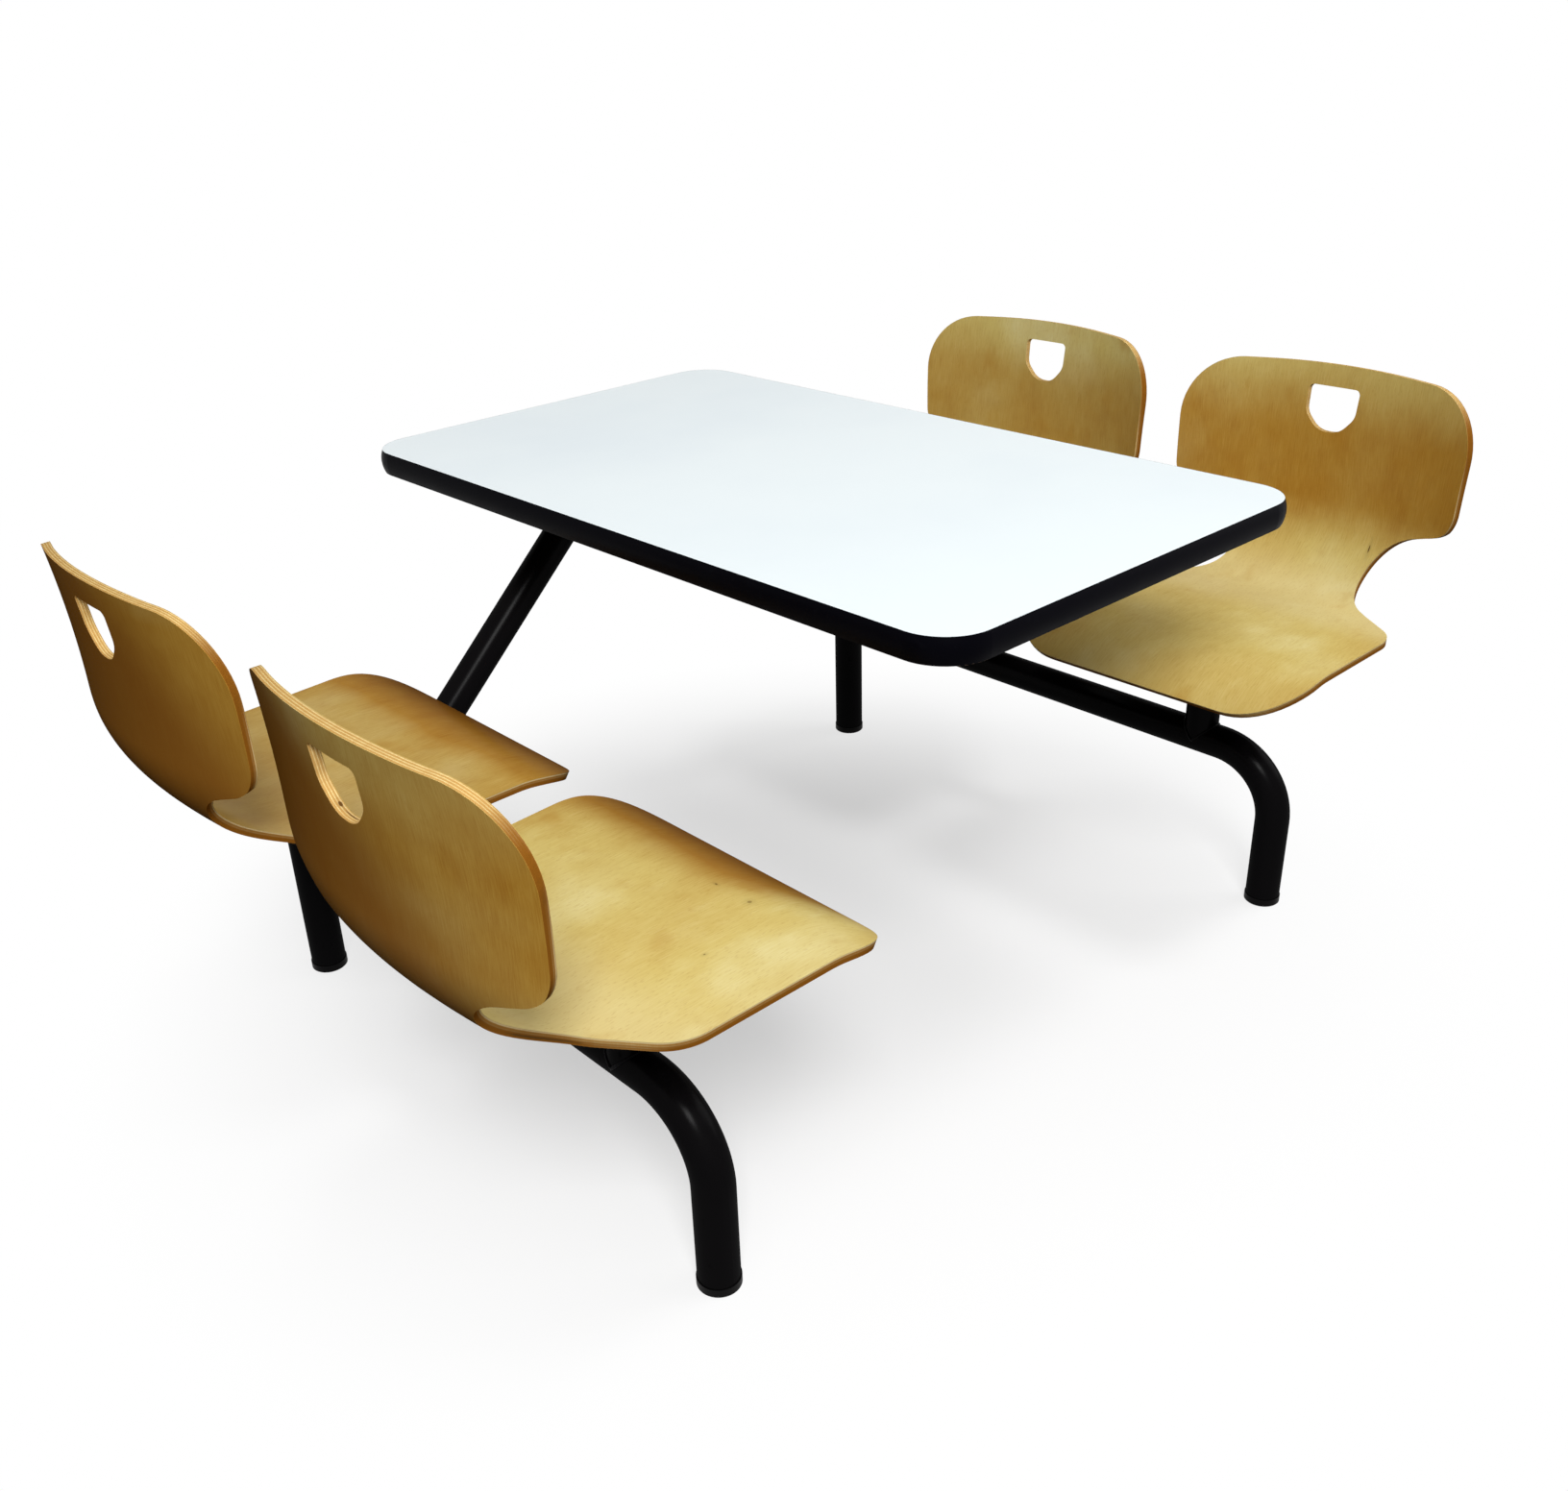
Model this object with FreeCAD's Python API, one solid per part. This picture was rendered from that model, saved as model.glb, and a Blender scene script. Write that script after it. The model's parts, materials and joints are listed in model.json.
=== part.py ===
import FreeCAD, Part
import math
import os
from FreeCAD import Base, Vector

# Four-seat table unit. Millimetres, +Z up. The origin lies on the floor under
# the middle of the table; +X runs along the table, +Y towards the far seats.

# --- table top -------------------------------------------------------------
table_height = 735.0
table_length = 1108.0
table_width = 648.0
table_corner_radius = 60.0
laminate_thickness = 0.8
core_thickness = 30.0
edge_bulge = 3.5
barb_thickness = 2.2
barb_depth = 11.0

# --- frame -----------------------------------------------------------------
tube_diameter = 50.8
tube_wall = 2.5
left_leg_reach = 222.0
right_leg_reach = 137.0
seat_setback = 245.0
beam_height = 240.0
beam_bend_radius = 100.0
beam_overhang = 8.0
foot_rim_diameter = 53.0
foot_rim_height = 12.0
foot_chamfer = 1.5
foot_plug_length = 28.0
cap_thickness = 3.0
cap_plug_length = 15.0
cap_wall = 3.0

# --- braces from the beams to the table --------------------------------------
brace_inset = 146.0
brace_diameter = 48.3
brace_wall = 2.5
brace_rise = 43.5
brace_apex_drop = 17.4
brace_bend_radius = 290.0
brace_saddle_depth = 6.0
brace_overhang = 8.0

# --- carrier under the table top ---------------------------------------------
rail_thickness = 6.0
rail_width = 60.0
rail_length = 500.0
right_rail_inset = 204.0
spine_width = 60.0
spine_depth = 30.0
spine_wall = 2.0
screw_diameter = 5.0
screw_clearance = 0.25
screw_length = 26.0
screw_head_diameter = 10.0
screw_head_height = 3.0
screw_pitch = 140.0
screw_offset = 15.0
screw_slot_width = 1.2
screw_slot_depth = 1.2

# --- moulded seat shell, measured along the middle of the ply ---------------
shell_thickness = 10.5
pan_rise = 34.8
post_station = 214.0
front_roll_length = 125.5
front_roll_angle = 42.3
pan_length = 233.5
pan_slope = -1.34
crease_length = 199.5
back_start_angle = 90.4
back_length = 221.5
back_end_angle = 80.8
back_curvature = 1.43e-3
blank_half_width = 280.0
blank_start = -20.0
blank_end = 790.0
blank_span = 15.0
surface_degree = 3
profile_step = 0.5

# corner points (half width, station, corner radius) of half of the flat blank
outline_corners = (
    (239.5, 0.0, 95.0),
    (230.0, 312.0, 63.0),
    (112.5, 402.5, 88.0),
    (112.5, 511.0, 88.0),
    (237.0, 551.0, 52.5),
    (244.0, 750.0, 94.5),
)
outline_crown = (0.0, 768.0, 1600.0)
handle_corners = (
    (42.0, 731.0, 8.0),
    (41.0, 689.0, 26.0),
    (18.0, 663.0, 34.0),
)
handle_cutter_margin = 6.0

# --- seat mounting and swivel ------------------------------------------------
left_seat_inset = 316.0
seat_gap = 57.0
swivel_range = 8.0
bracket_width = 180.0
bracket_length = 120.0
bracket_thickness = 3.0
bracket_corner_radius = 18.0
bracket_lip_height = 9.0
bolt_spacing_x = 130.0
bolt_spacing_y = 76.0
bolt_diameter = 6.0
bolt_hole_clearance = 0.3
bolt_head_diameter = 10.5
bolt_head_height = 3.3
bolt_head_round = 1.5
bolt_socket = 4.0
bolt_socket_depth = 1.8
insert_diameter = 9.0
insert_length = 8.0
bolt_reach = 7.0
post_rise = 160.0
spindle_diameter = 25.0
spindle_tail = 8.0
collar_diameter = 45.0
thrust_clearance = 0.1
running_clearance = 0.06
bush_flange_diameter = 50.0
bush_flange_thickness = 3.0
upper_bush_length = 40.0
sleeve_length = 35.0
lower_bush_length = 25.0
pin_diameter = 6.0
pin_length = 38.0
pin_clearance = 0.1
sleeve_clearance = 0.3
circlip_thickness = 1.75
circlip_depth = 1.2
circlip_diameter = 34.0
circlip_gap = 40.0

# --- stock left over when one piece is cut by another ------------------------
cut_margin = 1.0
cut_stock = 400.0

# --- derived values ------------------------------------------------------------
laminate_bottom = table_height - laminate_thickness
core_bottom = laminate_bottom - core_thickness
table_bottom = core_bottom - laminate_thickness
table_thickness = table_height - table_bottom
rail_bottom = table_bottom - rail_thickness
left_end_x = -table_length / 2
right_end_x = table_length / 2
seat_width = 2 * max(corner[0] for corner in outline_corners)
left_seat_x = left_end_x + left_seat_inset
right_seat_x = left_seat_x + seat_width + seat_gap
left_leg_x = left_seat_x - left_leg_reach
right_leg_x = right_seat_x + right_leg_reach
left_rail_x = left_end_x + brace_inset
right_rail_x = right_end_x - right_rail_inset
seat_centres = {"left": left_seat_x, "right": right_seat_x}
beam_y = table_width / 2 + seat_setback
tube_radius = tube_diameter / 2
tube_bore = tube_diameter - 2 * tube_wall
brace_radius = brace_diameter / 2
brace_bore = brace_diameter - 2 * brace_wall
beam_end_x = left_leg_x - tube_radius - beam_overhang
brace_apex_height = rail_bottom - brace_apex_drop
brace_foot_height = beam_height + tube_radius + brace_radius - brace_saddle_depth
brace_end_y = beam_y + tube_radius + brace_overhang
post_height = beam_height + post_rise
pan_height = post_height + pan_rise
pan_underside = -shell_thickness / 2
bracket_underside = pan_underside - bracket_thickness
flange_top = post_height + bush_flange_thickness
upper_bush_bottom = post_height - upper_bush_length
pin_height = upper_bush_bottom + pin_diameter / 2 + pin_clearance
sleeve_top = upper_bush_bottom - sleeve_clearance
lower_bush_top = sleeve_top - sleeve_length
lower_bush_bottom = lower_bush_top - lower_bush_length
circlip_top = lower_bush_bottom - thrust_clearance
circlip_bottom = circlip_top - circlip_thickness
spindle_end = circlip_bottom - spindle_tail

UP = Vector(0, 0, 1)
ALONG_X = Vector(1, 0, 0)
ALONG_Y = Vector(0, 1, 0)
SIDES = {"near": -1, "far": 1}


def rod(diameter, start, end):
    """Solid round bar between two points."""
    axis = end - start
    return Part.makeCylinder(diameter / 2, axis.Length, start, axis)


def ring(outer, inner, bottom, top):
    """Upright tube about the Z axis between two heights."""
    body = rod(outer, Vector(0, 0, bottom), Vector(0, 0, top))
    bore = rod(inner, Vector(0, 0, bottom), Vector(0, 0, top))
    return body.cut(bore)


def box(centre, size):
    """Rectangular block by its centre and its full size."""
    corner = centre - size * 0.5
    return Part.makeBox(size.x, size.y, size.z, corner)


def swept_bar(path, diameter):
    """Round bar along a path of tangent lines and arcs."""
    start = path.Edges[0].valueAt(path.Edges[0].FirstParameter)
    direction = path.Edges[0].tangentAt(path.Edges[0].FirstParameter)
    circle = Part.Circle(start, direction, diameter / 2).toShape()
    return path.makePipe(Part.Face(Part.Wire([circle])))


def bent_path(points, radius):
    """Path through three points with the corner rounded to a bend radius."""
    start, corner, end = points
    back = (start - corner).normalize()
    ahead = (end - corner).normalize()
    half_angle = back.getAngle(ahead) / 2
    reach = radius / math.tan(half_angle)
    first = corner + back * reach
    last = corner + ahead * reach
    bisector = (back + ahead).normalize()
    middle = corner + bisector * (radius / math.sin(half_angle) - radius)
    edges = [
        Part.LineSegment(start, first).toShape(),
        Part.Arc(first, middle, last).toShape(),
        Part.LineSegment(last, end).toShape(),
    ]
    return Part.Wire(edges)


def rounded_plate(length, width, radius, bottom, thickness):
    """Plate with rounded corners centred on the Z axis."""
    plate = box(
        Vector(0, 0, bottom + thickness / 2), Vector(length, width, thickness)
    )
    uprights = [
        edge
        for edge in plate.Edges
        if abs(edge.tangentAt(edge.FirstParameter).z) > 0.5
    ]
    return plate.makeFillet(radius, uprights)


def save(name, shape):
    """Write one named piece."""
    shape.exportStep(os.path.join("parts", name + ".step"))
    print(name, len(shape.Solids), shape.isValid(), round(shape.Volume, 1))


# --- table top -------------------------------------------------------------
def table_sheet(bottom, thickness, inset=0.0):
    """Sheet with the outline of the table top, or the same drawn in."""
    return rounded_plate(
        table_length - 2 * inset,
        table_width - 2 * inset,
        table_corner_radius - inset,
        bottom,
        thickness,
    )


def barb_ring():
    """The tongue of the edge strip, which fills the groove in the core."""
    bottom = (table_height + table_bottom - barb_thickness) / 2
    whole = table_sheet(bottom, barb_thickness)
    return whole.cut(table_sheet(bottom, barb_thickness, barb_depth))


def edge_strip():
    """Domed strip round the table edge with its tongue."""
    middle = table_bottom + table_thickness / 2
    side = table_width / 2
    low = Vector(0, -side, table_bottom)
    crest = Vector(0, -side - edge_bulge, middle)
    high = Vector(0, -side, table_height)
    dome = Part.Wire(
        [Part.Arc(low, crest, high).toShape(), Part.LineSegment(high, low).toShape()]
    )
    straight_x = table_length - 2 * table_corner_radius
    straight_y = table_width - 2 * table_corner_radius
    section = Part.Face(dome)
    strip = barb_ring()
    for turn, run, half in (
        (0, straight_x, table_length / 2 - table_corner_radius),
        (90, straight_y, table_width / 2 - table_corner_radius),
        (180, straight_x, table_length / 2 - table_corner_radius),
        (270, straight_y, table_width / 2 - table_corner_radius),
    ):
        across = table_width / 2 if turn % 180 == 0 else table_length / 2
        profile = section.copy()
        profile.translate(Vector(half, side - across, 0))
        straight = profile.extrude(Vector(-run, 0, 0))
        pivot = Vector(half, table_corner_radius - across, 0)
        corner = profile.revolve(pivot, UP, 90)
        for piece in (straight, corner):
            piece.rotate(Vector(0, 0, 0), UP, turn)
            strip = strip.fuse(piece)
    return strip.removeSplitter()


def screw_places():
    """Places of the wood screws that hold the rails."""
    places = []
    for rail_x in (left_rail_x, right_rail_x):
        for step in (-1.5, -0.5, 0.5, 1.5):
            sideways = screw_offset if step in (-1.5, 0.5) else -screw_offset
            places.append(Vector(rail_x + sideways, step * screw_pitch, rail_bottom))
    return places


def screws():
    """Pan-head wood screws from the rails up into the core."""
    solids = []
    for place in screw_places():
        head_low = place - UP * screw_head_height
        head = rod(screw_head_diameter, head_low, place)
        slot_size = Vector(screw_slot_width, screw_head_diameter, screw_slot_depth * 2)
        slot = box(head_low, slot_size)
        shank = rod(screw_diameter, place, place + UP * screw_length)
        solids.append(head.cut(slot).fuse(shank).removeSplitter())
    return Part.Compound(solids)


def drilled(shape, diameter):
    """Cut a hole for every table screw."""
    for place in screw_places():
        shape = shape.cut(rod(diameter, place, place + UP * screw_length))
    return shape


def rails():
    """Two flat cross rails screwed under the top."""
    bars = []
    for rail_x in (left_rail_x, right_rail_x):
        centre = Vector(rail_x, 0, rail_bottom + rail_thickness / 2)
        bar = box(centre, Vector(rail_width, rail_length, rail_thickness))
        bars.append(drilled(bar, screw_diameter + 2 * screw_clearance))
    return Part.Compound(bars)


def spine():
    """Rectangular tube that joins the two rails, coped onto the braces."""
    end_x = right_rail_x + rail_width / 2
    length = end_x - left_rail_x
    centre = Vector(left_rail_x + length / 2, 0, rail_bottom - spine_depth / 2)
    body = box(centre, Vector(length, spine_width, spine_depth))
    hollow_width = spine_width - 2 * spine_wall
    hollow_depth = spine_depth - 2 * spine_wall
    hollow = Vector(length + 2 * cut_margin, hollow_width, hollow_depth)
    body = body.cut(box(centre, hollow))
    for side in SIDES.values():
        body = body.cut(brace_bar(side, brace_diameter))
    return max(body.Solids, key=lambda solid: solid.Volume)


# --- frame -----------------------------------------------------------------
def beam_bar(side, diameter):
    """The bent bar of one beam as solid stock of a given diameter."""
    y = side * beam_y
    points = (
        Vector(beam_end_x, y, beam_height),
        Vector(right_leg_x, y, beam_height),
        Vector(right_leg_x, y, foot_rim_height),
    )
    return swept_bar(bent_path(points, beam_bend_radius), diameter)


def beam(side):
    """Tube under a pair of seats, bent down into the right-hand leg."""
    return beam_bar(side, tube_diameter).cut(beam_bar(side, tube_bore))


def beam_core(side):
    """Straight stock of the beam, used to cope the tubes that meet it."""
    start = Vector(beam_end_x, side * beam_y, beam_height)
    return rod(tube_diameter, start, start + ALONG_X * (right_leg_x - beam_end_x))


def left_leg(side):
    """Straight leg coped under the beam."""
    top = Vector(left_leg_x, side * beam_y, beam_height)
    foot = Vector(left_leg_x, side * beam_y, foot_rim_height)
    leg = rod(tube_diameter, foot, top).cut(rod(tube_bore, foot, top))
    return leg.cut(beam_core(side))


def brace_bar(side, diameter):
    """Solid stock of one brace: level foot, bend and rise to the table."""
    drop = brace_apex_height - brace_foot_height
    corner_y = drop / math.tan(math.radians(brace_rise))
    points = (
        Vector(left_rail_x, side * brace_end_y, brace_foot_height),
        Vector(left_rail_x, side * corner_y, brace_foot_height),
        Vector(
            left_rail_x,
            -side * brace_diameter,
            brace_apex_height + brace_diameter * math.tan(math.radians(brace_rise)),
        ),
    )
    return swept_bar(bent_path(points, brace_bend_radius), diameter)


def brace(side):
    """Brace tube, saddled on the beam and mitred under the left rail."""
    tube = brace_bar(side, brace_diameter).cut(brace_bar(side, brace_bore))
    tube = tube.cut(beam_core(side))
    stock = Vector(cut_stock, cut_stock, cut_stock)
    other_half = box(Vector(left_rail_x, -side * cut_stock / 2, brace_apex_height), stock)
    above = box(Vector(left_rail_x, 0, rail_bottom + cut_stock / 2), stock)
    tube = tube.cut(other_half).cut(above)
    return max(tube.Solids, key=lambda solid: solid.Volume)


def foot():
    """Ferrule: chamfered rim under the tube and a hollow plug inside it."""
    rim = rod(foot_rim_diameter, Vector(0, 0, 0), UP * foot_rim_height)
    floor_edge = [edge for edge in rim.Edges if edge.BoundBox.ZMax < 0.1]
    rim = rim.makeChamfer(foot_chamfer, floor_edge)
    plug = rod(tube_bore, UP * foot_rim_height, UP * (foot_rim_height + foot_plug_length))
    hollow = rod(
        tube_bore - 2 * cap_wall,
        UP * foot_rim_height,
        UP * (foot_rim_height + foot_plug_length),
    )
    return rim.fuse(plug.cut(hollow)).removeSplitter()


def end_cap(diameter, bore, place, outward):
    """Plastic plug in an open tube end."""
    disc = rod(diameter, place, place + outward * cap_thickness)
    inner = place - outward * cap_plug_length
    plug = rod(bore, inner, place).cut(rod(bore - 2 * cap_wall, inner, place))
    return disc.fuse(plug).removeSplitter()


def end_caps():
    """Plugs of both beams and both braces."""
    caps = []
    for side in SIDES.values():
        beam_end = Vector(beam_end_x, side * beam_y, beam_height)
        caps.append(end_cap(tube_diameter, tube_bore, beam_end, -ALONG_X))
        brace_end = Vector(left_rail_x, side * brace_end_y, brace_foot_height)
        caps.append(end_cap(brace_diameter, brace_bore, brace_end, ALONG_Y * side))
    return Part.Compound(caps)


# --- moulded seat shell -------------------------------------------------------
def profile_angle(station):
    """Rise of the side profile at a station, in degrees."""
    spans = (
        (front_roll_length, front_roll_angle, pan_slope),
        (pan_length, pan_slope, pan_slope),
        (crease_length, pan_slope, back_start_angle),
        (back_length, back_start_angle, back_end_angle),
    )
    for length, start, end in spans:
        if station <= length:
            return start + (end - start) * station / length
        station -= length
    return back_end_angle


def cross_curvature(station):
    """Sideways curvature: none in the pan, full in the back."""
    part = (station - front_roll_length - pan_length) / crease_length
    part = min(max(part, 0.0), 1.0)
    return back_curvature * part * part * (3 - 2 * part)


def profile_table():
    """Points of the side profile at equal steps, zero at the post axis."""
    count = int((blank_end - blank_start) / profile_step)
    points = [(0.0, 0.0)]
    for index in range(count):
        angle = math.radians(profile_angle(blank_start + (index + 0.5) * profile_step))
        y, z = points[-1]
        points.append(
            (y + profile_step * math.cos(angle), z + profile_step * math.sin(angle))
        )
    y0, z0 = points[int((post_station - blank_start) / profile_step)]
    return [(y - y0, z - z0) for y, z in points]


PROFILE = profile_table()


def profile_point(station):
    """Side profile point (y, z) at a station of the blank."""
    place = (station - blank_start) / profile_step
    index = min(max(int(place), 0), len(PROFILE) - 2)
    part = place - index
    y0, z0 = PROFILE[index]
    y1, z1 = PROFILE[index + 1]
    return y0 + (y1 - y0) * part, z0 + (z1 - z0) * part


def shell_point(across, station, offset):
    """Point of the moulded shell at an offset towards the sitter."""
    y, z = profile_point(station)
    angle = math.radians(profile_angle(station))
    curvature = cross_curvature(station)
    turn = curvature * across
    if curvature > 0:
        x = math.sin(turn) / curvature
        lift = (1 - math.cos(turn)) / curvature
    else:
        x = across
        lift = 0.0
    x -= offset * math.sin(turn)
    lift += offset * math.cos(turn)
    return Vector(x, y - lift * math.sin(angle), pan_height + z + lift * math.cos(angle))


def even_knots(start, end):
    """Evenly spaced knots between two limits."""
    count = round((end - start) / blank_span)
    return [start + (end - start) * index / count for index in range(count + 1)]


def pole_places(knots):
    """Parameter value that belongs to each pole."""
    full = [knots[0]] * surface_degree + knots + [knots[-1]] * surface_degree
    count = len(full) - surface_degree - 1
    return [
        sum(full[index + 1 : index + 1 + surface_degree]) / surface_degree
        for index in range(count)
    ]


def shell_surface(offset):
    """Smooth surface of the shell whose parameters are blank dimensions."""
    across_knots = even_knots(-blank_half_width, blank_half_width)
    station_knots = even_knots(blank_start, blank_end)
    poles = [
        [shell_point(across, station, offset) for station in pole_places(station_knots)]
        for across in pole_places(across_knots)
    ]
    ends = surface_degree + 1
    surface = Part.BSplineSurface()
    surface.buildFromPolesMultsKnots(
        poles,
        [ends] + [1] * (len(across_knots) - 2) + [ends],
        [ends] + [1] * (len(station_knots) - 2) + [ends],
        across_knots,
        station_knots,
        False,
        False,
        surface_degree,
        surface_degree,
    )
    return surface


def mirrored(corners, crown=None):
    """Closed list of corners from one half and an optional middle point."""
    other = [(-across, station, radius) for across, station, radius in corners]
    middle = [crown] if crown else []
    return list(corners) + middle + other[::-1]


def rounded_outline(corners):
    """Lines and arcs in blank dimensions round a list of corners."""
    marks = []
    for index, (across, station, radius) in enumerate(corners):
        corner = Vector(across, station, 0)
        before = corners[index - 1]
        after = corners[(index + 1) % len(corners)]
        back = (Vector(before[0], before[1], 0) - corner).normalize()
        ahead = (Vector(after[0], after[1], 0) - corner).normalize()
        half_angle = back.getAngle(ahead) / 2
        reach = radius / math.tan(half_angle)
        bisector = (back + ahead).normalize()
        middle = corner + bisector * (radius / math.sin(half_angle) - radius)
        marks.append((corner + back * reach, middle, corner + ahead * reach))
    curves = []
    for index, trio in enumerate(marks):
        first, middle, last = [Base.Vector2d(mark.x, mark.y) for mark in trio]
        following = marks[(index + 1) % len(marks)][0]
        curves.append(Part.Geom2d.ArcOfCircle2d(first, middle, last))
        end = Base.Vector2d(following.x, following.y)
        curves.append(Part.Geom2d.Line2dSegment(last, end))
    return curves


def bent_solid(corners, half_thickness):
    """Outline of the blank as a solid of moulded ply."""
    curves = rounded_outline(corners)
    rims = []
    faces = []
    for offset in (half_thickness, -half_thickness):
        surface = shell_surface(offset)
        edges = [curve.toShape(surface) for curve in curves]
        rims.append(edges)
        faces.append(Part.Face(Part.Wire(edges)))
    for upper, lower in zip(*rims):
        faces.append(Part.makeRuledSurface(upper, lower))
    skin = Part.Shell(faces)
    skin.sewShape()
    solid = Part.Solid(skin)
    if solid.Volume < 0:
        solid.reverse()
    return solid


def shell():
    """Seat and back in one piece with the handle and the insert holes."""
    blank = bent_solid(mirrored(outline_corners, outline_crown), shell_thickness / 2)
    opening = shell_thickness / 2 + handle_cutter_margin
    blank = blank.cut(bent_solid(mirrored(handle_corners), opening))
    for x, y in bolt_places():
        low = pan_point(x, y, pan_underside - cut_margin)
        high = pan_point(x, y, pan_underside + insert_length)
        blank = blank.cut(rod(insert_diameter, low, high))
    return blank


# --- seat mounting and swivel ------------------------------------------------
def pan_placement():
    """Frame of the pan: on the post axis, square to the sloping pan."""
    tilt = FreeCAD.Rotation(ALONG_X, pan_slope)
    return FreeCAD.Placement(Vector(0, 0, pan_height), tilt)


def pan_point(x, y, z):
    """A point given square to the pan."""
    return pan_placement().multVec(Vector(x, y, z))


def bolt_places():
    """The four bolt places in the frame of the pan."""
    return [
        (x * bolt_spacing_x / 2, y * bolt_spacing_y / 2) for x in (-1, 1) for y in (-1, 1)
    ]


def bracket():
    """Pressed plate with turned-down front and rear lips."""
    plate = rounded_plate(
        bracket_width,
        bracket_length,
        bracket_corner_radius,
        bracket_underside,
        bracket_thickness,
    )
    lip_length = bracket_width - 2 * bracket_corner_radius
    for side in (-1, 1):
        centre = Vector(
            0,
            side * (bracket_length - bracket_thickness) / 2,
            bracket_underside - bracket_lip_height / 2,
        )
        lip = box(centre, Vector(lip_length, bracket_thickness, bracket_lip_height))
        plate = plate.fuse(lip)
    for x, y in bolt_places():
        low = Vector(x, y, bracket_underside - cut_margin)
        high = Vector(x, y, pan_underside + cut_margin)
        plate = plate.cut(rod(bolt_diameter + 2 * bolt_hole_clearance, low, high))
    plate = plate.removeSplitter()
    plate.Placement = pan_placement()
    return plate


def inserts():
    """Threaded inserts in the underside of the shell."""
    solids = []
    for x, y in bolt_places():
        low = pan_point(x, y, pan_underside)
        high = pan_point(x, y, pan_underside + insert_length)
        solids.append(rod(insert_diameter, low, high).cut(rod(bolt_diameter, low, high)))
    return Part.Compound(solids)


def bolts():
    """Button-head bolts through the bracket into the inserts."""
    hexagon = Part.makePolygon(
        [
            Vector(
                bolt_socket / math.sqrt(3) * math.cos(math.radians(60 * step)),
                bolt_socket / math.sqrt(3) * math.sin(math.radians(60 * step)),
                0,
            )
            for step in range(7)
        ]
    )
    socket = Part.Face(hexagon).extrude(UP * bolt_socket_depth)
    solids = []
    for x, y in bolt_places():
        low = Vector(x, y, bracket_underside - bolt_head_height)
        seat = Vector(x, y, bracket_underside)
        tip = Vector(x, y, pan_underside + bolt_reach)
        head = rod(bolt_head_diameter, low, seat)
        rim = [edge for edge in head.Edges if edge.BoundBox.ZMax < low.z + 0.1]
        head = head.makeFillet(bolt_head_round, rim)
        bolt = head.fuse(rod(bolt_diameter, seat, tip))
        recess = socket.copy()
        recess.translate(low)
        solids.append(bolt.cut(recess).removeSplitter())
    group = Part.Compound(solids)
    group.Placement = pan_placement()
    return group


def pin_rod(diameter, length):
    """Cross pin stock through the spindle axis."""
    half = ALONG_Y * (length / 2)
    return rod(diameter, UP * pin_height - half, UP * pin_height + half)


def spindle():
    """Shaft with a collar, cut to the slope of the bracket it is welded to."""
    above = pan_height
    shaft = rod(spindle_diameter, UP * spindle_end, UP * above)
    collar = rod(collar_diameter, UP * (flange_top + thrust_clearance), UP * above)
    body = shaft.fuse(collar)
    plate_space = box(
        Vector(0, 0, bracket_underside + cut_stock / 2),
        Vector(cut_stock, cut_stock, cut_stock),
    )
    plate_space.Placement = pan_placement()
    body = body.cut(plate_space)
    groove_diameter = spindle_diameter - 2 * circlip_depth
    groove = ring(collar_diameter, groove_diameter, circlip_bottom, circlip_top)
    body = body.cut(groove).cut(pin_rod(pin_diameter, collar_diameter))
    return body.removeSplitter()


def circlip():
    """Open spring ring in the spindle groove."""
    inner = spindle_diameter - 2 * circlip_depth
    clip = ring(circlip_diameter, inner, circlip_bottom, circlip_top)
    middle = Vector(circlip_diameter / 2, 0, circlip_top - circlip_thickness / 2)
    width = circlip_diameter * math.sin(math.radians(circlip_gap / 2))
    return clip.cut(box(middle, Vector(circlip_diameter, width, circlip_diameter)))


def upper_bush():
    """Flanged bush whose lower end is notched for the stop pin."""
    bore = spindle_diameter + 2 * running_clearance
    bush = ring(tube_bore, bore, upper_bush_bottom, post_height)
    bush = bush.fuse(ring(bush_flange_diameter, bore, post_height, flange_top))
    notch_width = pin_diameter + 2 * pin_clearance
    for turn in (-swivel_range, 0, swivel_range):
        notch = box(
            Vector(0, 0, upper_bush_bottom),
            Vector(notch_width, tube_diameter, notch_width * 2),
        )
        notch.rotate(Vector(0, 0, 0), UP, turn)
        bush = bush.cut(notch)
    return bush.removeSplitter()


def bushes():
    """Upper and lower nylon bush of one seat."""
    bore = spindle_diameter + 2 * running_clearance
    lower = ring(tube_bore, bore, lower_bush_bottom, lower_bush_top)
    return Part.Compound([upper_bush(), lower])


def return_sleeve():
    """Rubber sleeve between the bushes."""
    bore = spindle_diameter + 2 * sleeve_clearance
    return ring(tube_bore, bore, lower_bush_top, sleeve_top)


def post():
    """Seat post, coped onto a beam that runs along X under it."""
    stock = ring(tube_diameter, tube_bore, beam_height, post_height)
    start = Vector(-tube_diameter, 0, beam_height)
    return stock.cut(rod(tube_diameter, start, start + ALONG_X * 2 * tube_diameter))


# --- write every piece ----------------------------------------------------------
def placed(shape, x, y, turn=0.0):
    """Copy of a shape moved over the floor and turned about the vertical."""
    copy = shape.copy()
    move = FreeCAD.Placement(Vector(x, y, 0), FreeCAD.Rotation(UP, turn))
    copy.Placement = move.multiply(copy.Placement)
    return copy


def write_seats():
    """The four seats with their mountings and swivels."""
    pieces = {
        "shell": shell(),
        "bracket": bracket(),
        "inserts": inserts(),
        "bolts": bolts(),
        "spindle": spindle(),
        "pin": pin_rod(pin_diameter, pin_length),
        "circlip": circlip(),
        "post": post(),
        "bushes": bushes(),
        "sleeve": return_sleeve(),
    }
    for side_name, side in SIDES.items():
        turn = 0.0 if side > 0 else 180.0
        for place_name, x in seat_centres.items():
            for piece_name, shape in pieces.items():
                name = "_".join((side_name, place_name, piece_name))
                save(name, placed(shape, x, side * beam_y, turn))


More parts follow.
